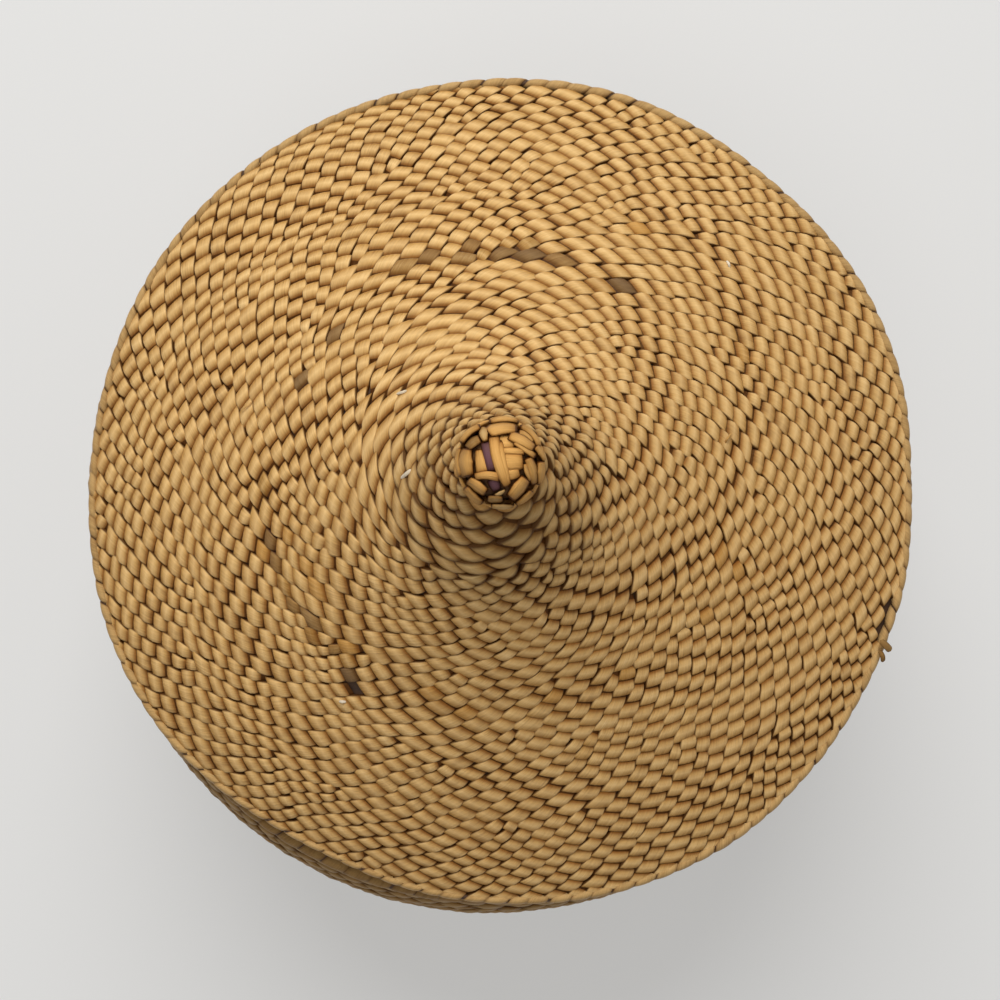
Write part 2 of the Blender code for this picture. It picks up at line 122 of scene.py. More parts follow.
# Stitches: their shape, and how much they differ
STITCH_REACH = 0.64  # half of a stitch's way up the weave, in rows
STITCH_SLANT = 0.345  # how far its right side lies lower than its middle, in rows
STITCH_RISE = (0.50 * MM, 0.62 * MM)  # its middle over the face, and its sides below the face
OVERLAP = 1.07  # its width against its place in the row
SPLIT_LENGTH = 0.12  # how much longer it is where two follow on it, as a share of its length
GRIME_AND_SHADE_RELIEF = 0.7  # how much higher it stands where it has grime and painted shade, as a share of its height
WANDER_UP = 0.30 * MM  # sizes of the slow shifts of the stitches up the face and along the row
WANDER_ASIDE = 0.45 * MM
UNEVEN_WIDTH = 0.055  # spreads of a stitch's width, length, lean and height
UNEVEN_LENGTH = 0.02
UNEVEN_LEAN = 0.05
UNEVEN_HEIGHT = 0.08 * MM


def smooth_step(t):
    """From 0 to 1 with level ends: t^2 (3 - 2 t), and no further before 0 or after 1."""
    t = np.clip(t, 0.0, 1.0)
    return t * t * (3.0 - 2.0 * t)


def together(*parts):
    """Arrays spread to one shape, as the columns of one array."""
    return np.stack(np.broadcast_arrays(*parts), axis=-1)


def spread_out(down, along):
    """Two grids: one number for each row, and one for each column."""
    return np.meshgrid(down, along, indexing="ij")


def full_turn(sides):
    """Angles of equal sides once round, with the first one again at the end."""
    return np.arange(sides + 1) * TURN / sides


def unit(rows):
    """Each row divided by its length."""
    return rows / np.linalg.norm(rows, axis=-1, keepdims=True)


def hump(angle, middle, width):
    """One at the middle angle, falling smoothly to nothing at the width to either side."""
    off = np.abs((np.degrees(angle) - middle + 180.0) % 360.0 - 180.0)
    return 1.0 - smooth_step(off / width)


def bezier(points, count):
    """Points along a cubic curve through its first and last point, with two handles."""
    t = np.linspace(0.0, 1.0, count)[:, None]
    a, b, c, d = (np.array(p) for p in points)
    return a * (1 - t) ** 3 + 3 * b * t * (1 - t) ** 2 + 3 * c * t**2 * (1 - t) + d * t**3


def wall_line():
    """Outer line of the wall as (radius, height), up from the edge row to the mouth.

    Two cubic curves meet at the belly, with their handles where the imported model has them.
    """
    foot = (BASE_RADIUS + 0.0025, EDGE_ROW[1] + SEAM)
    belly = (BELLY_RADIUS, BELLY_HEIGHT)
    mouth = (MOUTH_RADIUS + WALL_THICK / 2, WALL_HEIGHT - MOUTH_BORDER[1] - SEAM)
    reach = BELLY_RADIUS - foot[0]
    climb = BELLY_HEIGHT - foot[1]
    tuck = mouth[1] - BELLY_HEIGHT
    leave = (foot[0] + 0.72 * reach, foot[1] + 0.18 * climb)
    below = (BELLY_RADIUS, BELLY_HEIGHT - 0.42 * climb)
    above = (BELLY_RADIUS, BELLY_HEIGHT + 0.42 * tuck)
    arrive = (mouth[0] + 0.5 * (BELLY_RADIUS - mouth[0]), mouth[1] - 0.2 * tuck)
    lower = bezier((foot, leave, below, belly), 200)
    upper = bezier((belly, above, arrive, mouth), 80)
    return np.concatenate([lower, upper[1:]])


def base_line():
    """Underside of the base as (radius, height), from the plaited start to its rim."""
    rim = BASE_RADIUS - EDGE_ROW[0] / 2 - SEAM
    radius = np.linspace(START_RADIUS + SEAM, rim, 120)
    return np.stack([radius, BASE_LIFT + BASE_RISE * smooth_step(1.0 - radius / rim)], axis=1)


def lid_line():
    """Outer line of the lid as (radius, height), down from the stem to the border.

    The slope grows with a power of the distance from the rim, and the heights are its sum.
    """
    radius = np.linspace(LID_RADIUS - LID_BORDER_WIDTH - SEAM, TOP_RADIUS, 400)
    share = (LID_RADIUS - radius) / (LID_RADIUS - TOP_RADIUS)
    slope = LID_SLOPE_RIM + (LID_SLOPE_TOP - LID_SLOPE_RIM) * share**LID_SLOPE_POWER
    rise = np.tan(np.radians(slope)) * (radius[0] - radius[1])
    height = LID_SEAT + LID_BORDER_HEIGHT + np.cumsum(rise) - rise[0]
    return np.stack([radius, height], axis=1)[::-1]


STEM_FOOT = lid_line()[0, 1] + SEAM
NECK = STEM_FOOT + STEM_HEIGHT
HEAD_MIDDLE = NECK + SEAM + HEAD_FLATTEN * math.sqrt(HEAD_RADIUS**2 - STEM_RADIUS**2)


def lid_top_line():
    """The lid's outer line with the stem above it, and with its last rows over the border."""
    share = np.linspace(1.0, 0.0, 30)
    radius = STEM_RADIUS + (TOP_RADIUS - STEM_RADIUS) * (1.0 - share) ** 2
    stem = np.stack([radius, STEM_FOOT + STEM_HEIGHT * share], axis=1)
    line = lid_line()
    width = LID_RADIUS - RIM_ROLL[0] + RIM_TUCK - line[-1, 0]
    share = np.linspace(0.0, 1.0, 12)[1:]
    drop = width * math.tan(math.radians(LID_SLOPE_RIM))
    rim = np.stack([line[-1, 0] + width * share, line[-1, 1] - drop * share], axis=1)
    return np.concatenate([stem, line[1:], rim])


def lean(height):
    """Sideways shift of the lid's tip: none below its last rows, and full from the neck up."""
    return KNOB_LEAN * smooth_step(1.0 - (NECK - height) / (STEM_HEIGHT + KNOB_LEAN_DEPTH))


def on_wall(radius, height, angle):
    """Places on the basket, with its bulge, which is widest at the belly."""
    depth, middle, width = WALL_BULGE
    share = smooth_step(1.0 - np.abs(height - BELLY_HEIGHT) / BELLY_HEIGHT)
    radius = radius + depth * share * hump(angle, middle, width)
    return together(radius * np.cos(angle), radius * np.sin(angle), height)


def on_lid(radius, height, angle):
    """Places on the lid, with its pressed-in edge, its wavy outline and its leaning tip."""
    depth, middle, width = LID_FLAT
    share = np.clip(radius / LID_RADIUS, 0.0, 1.0) ** LID_FLAT_POWER
    radius = radius - depth * share * hump(angle, middle, width)
    for depth, middle, width in LID_WAVES:
        radius = radius + depth * share * hump(angle, middle, width)
    return together(radius * np.cos(angle), radius * np.sin(angle) + lean(height), height)


class Face:
    """One face of a turned wall: a line that runs up the weave, and the sense of "right" round it.

    Right is anticlockwise seen from above when sense is 1, and clockwise when it is -1. Out is
    right times up, so the same line gives the outside or the inside as the sense changes.
    """

    def __init__(self, line, sense, shape, offset=0.0):
        length = np.concatenate([[0.0], np.cumsum(np.hypot(*np.diff(line, axis=0).T))])
        run = unit(np.gradient(line, length, axis=0))
        self.out = sense * np.stack([run[:, 1], -run[:, 0]], axis=1)
        self.line = line + self.out * offset
        self.run = run
        self.length = length
        self.rows = round(length[-1] / ROW)
        self.sense = sense
        self.shape = shape

    def radius(self, up):
        """Distance from the axis, a way up the line."""
        return np.interp(up, self.length, self.line[:, 0])

    def place(self, right, up, out):
        """Points for an angle to the right, a way up the line and a height off the face.

        Past either end of the line the face runs straight on.
        """
        inside = np.clip(up, 0.0, self.length[-1])
        over = up - inside
        radius, height, run_r, run_z, out_r, out_z = (
            np.interp(inside, self.length, row)
            for row in (*self.line.T, *self.run.T, *self.out.T))
        radius = np.maximum(radius + run_r * over + out_r * out, 0.0)
        return self.shape(radius, height + run_z * over + out_z * out, self.sense * right)


def grid_faces(rows, columns, closed=False):
    """Quads of a grid of points, row by row; a closed grid joins its last column to its first."""
    row, column = spread_out(np.arange(rows - 1), np.arange(columns - (not closed)))
    after = (column + 1) % columns
    return together(row * columns + column, row * columns + after,
                    (row + 1) * columns + after, (row + 1) * columns + column).reshape(-1, 4)


def put_in_scene(name, data):
    """A new object in the scene for a mesh, a lamp or a camera."""
    thing = bpy.data.objects.new(name, data)
    bpy.context.scene.collection.objects.link(thing)
    return thing


def make_piece(name, points, faces, place, material, grain=None, marks=None):
    """A mesh from whole arrays, with its grain as a UV map and its marks as point attributes.

    Its place is the body it rides on, the nodes it replaces and its slot, which is not used. A mark that
    has fewer numbers than there are points is spread over them as numpy spreads arrays.
    """
    body, nodes, slot = place
    spots = points.shape[:-1]
    points = points.reshape(-1, 3).astype(np.float32)
    mesh = bpy.data.meshes.new(name)
    mesh.vertices.add(len(points))
    mesh.vertices.foreach_set("co", points.ravel())
    sides = faces.shape[1]
    mesh.loops.add(faces.size)
    mesh.loops.foreach_set("vertex_index", faces.ravel().astype(np.int32))
    mesh.polygons.add(len(faces))
    mesh.polygons.foreach_set("loop_start", np.arange(0, faces.size, sides, dtype=np.int32))
    mesh.polygons.foreach_set("loop_total", np.full(len(faces), sides, dtype=np.int32))
    mesh.polygons.foreach_set("use_smooth", np.ones(len(faces), dtype=bool))
    mesh.update(calc_edges=True)
    if grain is not None:
        places = grain.reshape(-1, 2).astype(np.float32)[faces.ravel()]
        mesh.uv_layers.new(name="grain").data.foreach_set("uv", places.ravel())
    for mark, values in (marks or {}).items():
        values = np.array(np.broadcast_to(values, spots), dtype=np.float32, order="C")
        mesh.attributes.new(mark, "FLOAT", "POINT").data.foreach_set("value", values.ravel())
    mesh.materials.append(material)
    piece = put_in_scene(name, mesh)
    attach(piece, body)
    if nodes:
        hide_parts(*nodes)


def wander(right, up, rng, size):
    """A slow uneven shift over a face: six broad waves round it and up it, added up.

    Each goes one to seven times round, and turns by 60 to 260 radians in a metre up the face.
    """
    shift = 0.0
    for _ in range(6):
        round_it, up_it, start = rng.integers(1, 8), rng.uniform(60.0, 260.0), rng.uniform(0.0, TURN)
        shift = shift + np.sin(round_it * right + up_it * up + start)
    return size * shift / math.sqrt(3.0)


def lay_rows(rows, count_at, shift_at, rng):
    """Edges between stitches along one long spiral, as a list with one array for each turn.

    The edges of a turn lie a bit more than half way between those of the turn before, which
    sets each stitch over the gap between two and makes the ribs lean. Where a turn needs more
    stitches, the widest gaps are split, and where it needs fewer the narrowest are joined. The
    edges then even out from turn to turn. Each turn ends where the next one starts.
    """
    even_out = 0.28  # share of the way to the middle between its neighbours, done twice
    rough = 0.055  # spread of an edge about its place, in stitches
    count = count_at(0)
    edges = np.arange(count) * TURN / (count - shift_at(0))
    spiral = []
    for k in range(rows):
        share = shift_at(k)
        row = np.append(edges, (1.0 - share) * edges[0] + share * edges[1] + TURN)
        spiral.append(row)
        edges = (1.0 - share) * row[:-1] + share * row[1:] + TURN
        more = count_at(k + 1) - len(edges)
        gaps = np.diff(edges)
        if more:
            chosen = []
            for i in np.argsort(-np.sign(more) * gaps * rng.uniform(0.7, 1.3, len(gaps))):
                if 1 < i < len(gaps) - 2 and all(abs(i - j) > 2 for j in chosen):
                    chosen.append(i)
                if len(chosen) == abs(more):
                    break
            if more > 0:
                edges = np.sort(np.append(edges, edges[chosen] + 0.5 * gaps[chosen]))
            else:
                edges = np.delete(edges, chosen)
        for _ in range(2):
            edges[1:-1] += even_out * (0.5 * (edges[:-2] + edges[2:]) - edges[1:-1])
        edges[1:-1] += rng.normal(0.0, rough, len(edges) - 2) * TURN / len(edges)
    return spiral


def strip_values(count, rng, shortest, longest):
    """A random value from 0 to 1 for each stitch. Two strips take turns along the row, and
    each keeps its value for as many stitches as its leaf is long."""
    values = np.empty(count)
    for strand in (0, 1):
        spots = np.arange(strand, count, 2)
        lengths = rng.integers(shortest, longest, len(spots))
        values[spots] = np.repeat(rng.uniform(0.0, 1.0, len(spots)), lengths)[: len(spots)]
    return values


def only(stitches, chosen):
    """The chosen ones of the stitches."""
    return {key: values[chosen] for key, values in stitches.items()}


def lay_stitches(face, count_at, shift_at, seed):
    """Places and looks of all the stitches of a face, as one array for each quantity.

    The place up the line grows by one row for each turn, so that the rows are one spiral.
    """
    rng = np.random.default_rng(seed)
    spiral = lay_rows(face.rows + 2, count_at, shift_at, rng)
    row = np.repeat(np.arange(len(spiral)), [len(r) - 1 for r in spiral])
    middle = np.concatenate([0.5 * (r[1:] + r[:-1]) for r in spiral])
    length = np.concatenate([np.diff(r) for r in spiral])
    start = np.array([r[0] for r in spiral])[row]
    pitch = face.length[-1] / face.rows
    up = (row + (middle - start) / TURN - 0.5) * pitch
    count = len(middle)
    keep = (up > -0.3 * pitch) & (up < face.length[-1] + 0.3 * pitch)
    waves = rng.integers(1 << 30)  # a seed, so that a row and its edges wander alike
    here, over, under = (wander(middle, up + step * pitch, np.random.default_rng(waves), WANDER_UP)
                         for step in (0.0, 0.5, -0.5))
    radius = np.maximum(face.radius(up), 0.004)
    aside = wander(middle, up, rng, WANDER_ASIDE) * np.minimum(radius / 0.03, 1.0)  # less near the axis
    # The left side of a stitch leads on to the nearest edge in the next turn, a bit over half a
    # stitch further to the right
    edge = np.concatenate([r[:-1] for r in spiral])
    goal = edge + TURN + 0.58 * length
    after = np.clip(np.searchsorted(edge, goal), 1, count - 1)
    after -= (goal - edge[after - 1]) < (edge[after] - goal)
    onward = np.clip((edge[after] - edge - TURN) / length, 0.20, 1.0) * length
    stitches = {
        "right": middle + aside / radius,
        "up": up + here,
        "long": length * radius,
        "left": onward / length,
        "far": np.append(onward[1:], onward[-1:]) / length,
        "split": 1.0 * (np.diff(after, append=count) > 1),
        "tall": pitch + over - under,
        "tone": strip_values(count, rng, 5, 14),
        "warmth": strip_values(count, rng, 8, 20),
        "own": rng.uniform(0.0, 1.0, count),
    }
    for uneven in ("slope", "size", "lift", "tip"):
        stitches[uneven] = rng.normal(0.0, 1.0, count)
    for mark in ("dye", "gold", "grime_and_shade"):
        stitches[mark] = np.zeros(count)
    stitches["seed"] = rng.uniform(0.0, 1.0, count)
    return only(stitches, keep)


def stitch_patch(face, stitches, grid):
    """Pillows of all the stitches, and their grain and marks.

    Over a grid (u along the strip, v across it, each from -1 to 1) a stitch is a leaning
    parallelogram. Its height up the weave, in rows, is STITCH_REACH c + STITCH_SLANT d, where c
    is u and d is v, with its upper right corner drawn out and its lower end narrowed. Its left
    and right sides start half a stitch from its middle and lean to the right by the shares "left"
    and "far" of a stitch for each row, which are those of its neighbours too, so that the sides
    meet. It is OVERLAP times as wide, and longer where two stitches follow on it ("split").
    Its height over its sides goes with the product of four shares. Across, it falls off as
    1 - 0.26 v^2 - 0.74 v^24. It comes up from 0.12 at the lower end, where the strip is tucked
    under the stitch before, to the whole at about u = 0.15. Past the middle it sinks by up to
    0.42, with the square of the way. In the last 0.06 of u it drops to about a third, as the
    upper end lies on the next stitch.
    The mark "rim" is one at the sides, the upper end and the covered lower end, for dirt and painted shade
    in the joints. "tuck" grows to one towards the lower end, for painted shade where the strip is tucked
    under, and "crown" is a band across the middle for a painted highlight.
    """
    u, v = np.meshgrid(*grid)
    high, deep = STITCH_RISE
    one = {key: np.asarray(value)[:, None, None] for key, value in stitches.items()}
    late = np.clip(u, 0.0, 1.0) ** 2
    c = u * (1.0 - 0.03 * v * v) - 0.07 * v * late
    d = v * (1.02 + 0.10 * u - 0.13 * u * u) * (1.0 + UNEVEN_WIDTH * one["size"])
    reach = STITCH_REACH * (1.0 + UNEVEN_LENGTH * one["tip"] + SPLIT_LENGTH * one["split"])
    rows = reach * c + STITCH_SLANT * d
    across = -OVERLAP * d
    sides = 0.5 * (one["left"] * (1.0 - across) + one["far"] * (1.0 + across))
    right = one["long"] * (0.5 * across + (sides + UNEVEN_LEAN * one["slope"]) * rows)
    up = one["tall"] * rows
    side = 1.0 - 0.26 * v**2 - 0.74 * v**24
    start = 0.12 + 0.88 * smooth_step((u + 1.0) / (1.15 + 0.1 * one["tip"]))
    sink = 1.0 - 0.42 * np.clip((u + 0.05) / 1.05, 0.0, 1.0) ** 2
    end = smooth_step((1.04 - u) / 0.10)
    bold = 1.0 + GRIME_AND_SHADE_RELIEF * one["grime_and_shade"]
    out = -deep + (high + deep) * bold * side * start * sink * end + UNEVEN_HEIGHT * one["lift"]
    angle = one["right"] + right / np.maximum(face.radius(stitches["up"])[:, None, None], 0.003)
    edge = np.clip(one["up"] + up, -0.5 * MM, face.length[-1] + 0.2 * MM)
    points = face.place(angle, edge, out)
    way = np.arctan2(one["tall"], 0.5 * (one["left"] + one["far"]) * one["long"])
    grain = together(right * np.cos(way) + up * np.sin(way) + one["seed"] * 0.9,
                     up * np.cos(way) - right * np.sin(way) + one["own"] * 0.7)
    rim = np.maximum(np.abs(v) ** 7, np.clip(u, 0.0, 1.0) ** 16)
    marks = {"rim": np.maximum(rim, smooth_step((-0.50 - u) / 0.12)),
             "tuck": smooth_step((-0.08 - u) / 0.48),
             "crown": np.exp(-(((u - 0.20 + 0.10 * v) / 0.40) ** 2))}
    for name in ("tone", "warmth", "dye", "gold", "own", "grime_and_shade"):
        marks[name] = one[name]
    return points, grain / MM, marks


def patch_faces(count, rows, columns):
    """Quads of many equal grids, one after another."""
    one = grid_faces(rows, columns)
    return (one[None] + (np.arange(count) * rows * columns)[:, None, None]).reshape(-1, 4)


# Grids over a stitch: the places along it and those across it
FINE = (np.array([-1.0, -0.60, -0.50, -0.40, -0.15, 0.20, 0.55, 0.80, 0.94, 1.0]),
        np.array([-1.0, -0.93, -0.80, -0.3, 0.3, 0.80, 0.93, 1.0]))
MEDIUM = (np.array([-1.0, -0.75, -0.4, 0.0, 0.5, 0.91, 1.0]),
          np.array([-1.0, -0.88, 0.0, 0.88, 1.0]))
COARSE = (np.array([-1.0, -0.6, 0.0, 0.6, 1.0]),
          np.array([-1.0, -0.7, 0.0, 0.7, 1.0]))


def weave_piece(name, face, stitches, grid, place, material):
    """One piece of all the given stitches' pillows, each over the same grid."""
    points, grain, marks = stitch_patch(face, stitches, grid)
    faces = patch_faces(len(stitches["up"]), len(grid[1]), len(grid[0]))
    make_piece(name, points, faces, place, material, grain, marks)


# Materials

class Nodes:
    """Short ways to add the nodes of a material, or of the world.

    An input is a number, the output of another node, or a colour or a scale, which is filled up
    with a 1.
    """

    def __init__(self, owner):
        owner.use_nodes = True
        self.tree = owner.node_tree

    def feed(self, node, inputs):
        """Sets or links the node's inputs, given by their names or numbers."""
        for key, value in inputs.items():
            if isinstance(value, bpy.types.NodeSocket):
                self.tree.links.new(value, node.inputs[key])
            else:
                node.inputs[key].default_value = (*value, 1.0) if isinstance(value, tuple) else value

    def add(self, kind, inputs, output, **settings):
        """A new node with its settings and its inputs, given as its named output."""
        node = self.tree.nodes.new("ShaderNode" + kind)
        for name, value in settings.items():
            setattr(node, name, value)
        self.feed(node, inputs)
        return node.outputs[output]

    def mark(self, name):
        """One of the marks that are written on the points of a piece."""
        return self.add("Attribute", {}, "Fac", attribute_name=name)

    def maths(self, kind, a, b, clamp=False):
        """Two values taken together, and held from 0 to 1 if clamped."""
        return self.add("Math", {0: a, 1: b}, "Value", operation=kind, use_clamp=clamp)

    def noise(self, scale, detail):
        """Noise over the grain, with its scale for a millimetre along the strip and across it."""
        grain = self.add("UVMap", {}, "UV", uv_map="grain")
        place = self.add("Mapping", {"Vector": grain, "Scale": scale}, "Vector")
        inputs = {"Vector": place, "Scale": 1.0, "Detail": detail, "Roughness": 0.6}
        return self.add("TexNoise", inputs, "Fac", noise_dimensions="2D")

    def mix(self, kind, factor, a, b):
        """Colour b brought over colour a by the factor."""
        inputs = {"Factor": factor, "A": a, "B": b}
        return self.add("Mix", inputs, "Result", data_type="RGBA", blend_type=kind)

    def ramp(self, factor, *stops):
        """Colours or grey levels at their places along the factor, blended in between."""
        output = self.add("ValToRGB", {"Fac": factor}, "Color")
        elements = output.node.color_ramp.elements
        while len(elements) < len(stops):
            elements.new(0.5)
        for element, (spot, level) in zip(elements, stops):
            element.position = spot
            element.color = (*level, 1.0) if isinstance(level, tuple) else (level, level, level, 1.0)
        return output


# Colours that the marks of a stitch bring in. Those of shades multiply the leaf's own colour.
WARM_LEAF = (0.50, 0.25, 0.065)
GOLDEN_LEAF = (0.56, 0.27, 0.055)
FADED_LEAF = (0.15, 0.088, 0.047)
TUCKED_SHADE = (0.37, 0.19, 0.040)
BENT_SHADE = (0.66, 0.53, 0.32)
JOINT = (0.048, 0.011, 0.0005)
DYED_JOINT = (0.034, 0.010, 0.013)
PAINTED_HIGHLIGHT_GAIN = (1.12, 1.17, 1.26)  # the painted highlight's colour on the crown, against the pale one


def leaf_material(name, pale, mid, dark, roughness):
    """Dry split palm leaf: long fine veins, strip-to-strip tone, dirt and painted shade in the joints,
    painted shade where strips tuck in and bend down, and a soft sheen with a painted highlight on each
    crown.
    """
    material = bpy.data.materials.new(name)
    nodes = Nodes(material)
    mark, maths, mix, ramp = nodes.mark, nodes.maths, nodes.mix, nodes.ramp

    # Tone, from dark to pale: by strip, by stitch, in blotches and along the veins
    veins = nodes.noise((0.10, 2.6), 4.0)
    fibres = nodes.noise((0.25, 5.5), 2.0)
    blotches = nodes.noise((0.22, 0.45), 3.0)
    tone = maths("ADD", maths("MULTIPLY", mark("tone"), 0.24), maths("MULTIPLY", mark("own"), 0.16))
    tone = maths("ADD", tone, 0.17)
    tone = maths("ADD", tone, maths("MULTIPLY", maths("SUBTRACT", blotches, 0.5), 0.7))
    pleats = ramp(mark("own"), (0.75, 0.60), (0.92, 1.0))
    pleats = maths("ADD", pleats, maths("MULTIPLY", mark("gold"), 1.4))
    tone = maths("ADD", tone, maths("MULTIPLY", maths("SUBTRACT", veins, 0.5), pleats))
    colour = ramp(tone, (0.0, dark), (0.38, mid), (0.9, pale))

    # Strips of warmer, golden and dyed leaf, and the fine lines of the fibres
    warm = ramp(mark("warmth"), (0.70, 0.0), (1.0, 1.0))
    colour = mix("MIX", maths("MULTIPLY", warm, 0.35), colour, WARM_LEAF)
    colour = mix("MIX", mark("gold"), colour, GOLDEN_LEAF)
    colour = mix("MIX", mark("dye"), colour, FADED_LEAF)
    colour = mix("MULTIPLY", 0.7, colour, ramp(fibres, (0.30, 0.72), (0.62, 1.0)))

    # Painted shade where the strip is tucked in and bends down, and a painted highlight on its crown
    colour = mix("MULTIPLY", maths("MULTIPLY", mark("tuck"), 0.85), colour, TUCKED_SHADE)
    bent = maths("SUBTRACT", 0.62, maths("MULTIPLY", mark("grime_and_shade"), 0.25))
    ends = maths("MULTIPLY", maths("SUBTRACT", 1.0, mark("crown")), bent)
    colour = mix("MULTIPLY", ends, colour, BENT_SHADE)
    painted_highlight = maths("SUBTRACT", maths("MULTIPLY", mark("crown"), 0.42), mark("dye"), clamp=True)
    painted_highlight = maths("MULTIPLY", painted_highlight, maths("SUBTRACT", 1.1, mark("gold")), clamp=True)
    colour = mix("MIX", painted_highlight, colour, tuple(gain * level for gain, level in zip(PAINTED_HIGHLIGHT_GAIN, pale)))

    # Grime and painted shade on the strip, and dirt and painted shade in the joints
    worn_and_shaded = maths("SUBTRACT", 1.0, maths("MULTIPLY", mark("grime_and_shade"), 0.26))
    colour = mix("MULTIPLY", 1.0, colour, ramp(worn_and_shaded, (0.0, 0.0), (1.0, 1.0)))
    edge = maths("MULTIPLY", mark("rim"), maths("ADD", 1.05, maths("MULTIPLY", mark("grime_and_shade"), 2.2)))
    dirt_and_shade = ramp(edge, (0.24, 0.0), (0.74, 1.0))
    joint = mix("MIX", mark("dye"), JOINT, DYED_JOINT)
    colour = mix("MIX", maths("MULTIPLY", dirt_and_shade, 0.95), colour, joint)

    height = maths("ADD", veins, maths("MULTIPLY", fibres, 0.35))
    bump = nodes.add("Bump", {"Strength": 0.55, "Distance": 0.00022, "Height": height}, "Normal")
    nodes.feed(nodes.tree.nodes["Principled BSDF"], {
        "Base Color": colour, "Roughness": roughness, "Specular IOR Level": 0.30,
        "Specular Tint": (1.0, 0.66, 0.28), "Normal": bump})
    return material


# Kinds of leaf, each with its pale, its mid and its dark colour and its roughness
LEAF, EDGE_LEAF, SHADED_WALL_LEAF, LINING, KNOB_LEAF, FLAKE, DYED_LEAF = (
    leaf_material("palm_leaf_" + name, *looks) for name, *looks in (
        ("strips", (0.85, 0.565, 0.25), (0.63, 0.355, 0.105), (0.34, 0.150, 0.026), 0.42),
        ("edging", (0.72, 0.49, 0.23), (0.58, 0.37, 0.15), (0.35, 0.19, 0.06), 0.45),
        # the wall's leaf is a darker copy of the strips' leaf, as painted shade for the wall under the
        # lid's overhang
        ("wall", (0.42, 0.27, 0.11), (0.30, 0.175, 0.060), (0.17, 0.080, 0.021), 0.55),
        ("lining", (0.58, 0.37, 0.15), (0.44, 0.26, 0.09), (0.26, 0.13, 0.04), 0.60),
        ("knob", (0.84, 0.46, 0.14), (0.60, 0.29, 0.070), (0.22, 0.09, 0.020), 0.42),
        ("flake", (0.86, 0.76, 0.60), (0.74, 0.62, 0.44), (0.50, 0.38, 0.22), 0.50),
        ("dyed_strip", (0.17, 0.075, 0.095), (0.10, 0.040, 0.050), (0.04, 0.016, 0.020), 0.50),
    ))


def rib_material(name, dark, light):
    """Ribs and strip backs, seen only through the joints of the weave, in a very dark colour that is
    painted shade for the gaps.
    """
    material = bpy.data.materials.new(name)
    nodes = Nodes(material)
    where = nodes.add("TexCoord", {}, "Object")
    specks = nodes.add("TexNoise", {"Vector": where, "Scale": 600.0, "Detail": 3.0}, "Fac")
    colour = nodes.ramp(specks, (0.35, dark), (0.75, light))
    nodes.feed(nodes.tree.nodes["Principled BSDF"], {"Base Color": colour, "Roughness": 0.75})
    return material


RIBS = rib_material("palm_leaf_ribs", (0.025, 0.009, 0.002), (0.080, 0.032, 0.008))


def rib_sheet(name, face, rows, columns, place):
    """The closed layer under the stitches: the line turned round the axis, sunk by its depth."""
    body, _, slot = place
    up, right = spread_out(np.linspace(0.0, face.length[-1], rows), full_turn(columns)[:-1])
    points = face.place(right, up, -SHEET_DEPTH)
    make_piece(name, points, grid_faces(rows, columns, closed=True), (body, (), slot), RIBS)


def woven_face(name, face, spread, grid, place, material, ribs):
    """One plain face of a weave. Its spread is its counts, its shifts and its seed, and its ribs
    are their sheet's name with its own rows and columns."""
    weave_piece(name, face, lay_stitches(face, *spread), grid, place, material)
    rib_sheet(ribs[0], face, *ribs[1:], place)


def even_count(face, length, inner=None):
    """Stitches in each row, for one length all over, or shorter ones within 30 mm of the middle."""
    def count_at(row):
        radius = face.radius((row + 0.5) * ROW)
        here = length if inner is None else inner + (length - inner) * smooth_step(radius / 0.030)
        return max(FEWEST, round(TURN * radius / here))

    return count_at


def lean_of_ribs(face, first=0.55, last=0.55):
    """How far each row is set on from the last, as a share of a stitch."""
    return lambda row: first + (last - first) * row / face.rows


# Stitches of the dyed rows that still show their dye, and ones of golden leaf: the angle round
# the lid in degrees and the radius in millimetres
FADED_DYE = ((112, 55.6), (107, 54.6), (99, 55.8), (97, 53.8), (90, 54.6), (86, 55.6), (83, 54.0),
             (77, 54.1), (73, 55.2), (65, 53.4), (61, 54.8), (124, 55.2), (137, 52.0), (150, 51.2),
             (180, 51.6), (186, 51.0), (193, 52.2), (198, 51.8), (205, 51.5), (211, 52.2), (217, 52.0),
             (224, 51.8), (230, 52.6))
GOLDEN = ((331, 54.7), (342, 56.3), (344, 53.0), (251, 47.2), (262, 50.1), (275, 47.0), (287, 46.5),
          (304, 48.7), (211, 47.1), (218, 54.0), (190, 48.2), (196, 54.5), (203, 47.0), (30, 65.4),
          (62, 69.5), (254, 48.8), (290, 61.4), (208, 46.5), (226, 49.5))


def nearest_marks(face, stitches, spots, reach=0.0021):
    """One at the stitches that lie over the spots, falling to nothing at the reach from them.

    A way along the row counts for 0.7 of its length, as stitches are longer that way.
    """
    radius = face.radius(stitches["up"])
    angle = face.sense * stitches["right"]
    marks = np.zeros(len(radius))
    for degrees, far in spots:
        turn = (angle - math.radians(degrees) + math.pi) % TURN - math.pi
        gap = np.hypot(turn * radius * 0.7, radius - far * MM)
        marks = np.maximum(marks, smooth_step(2.0 * (1.0 - gap / reach)))
    return marks


# Stitches that are broken away, by angle in degrees and radius in millimetres
BROKEN = ((232.0, 56.2), (344.2, 96.4), (340.4, 96.4))


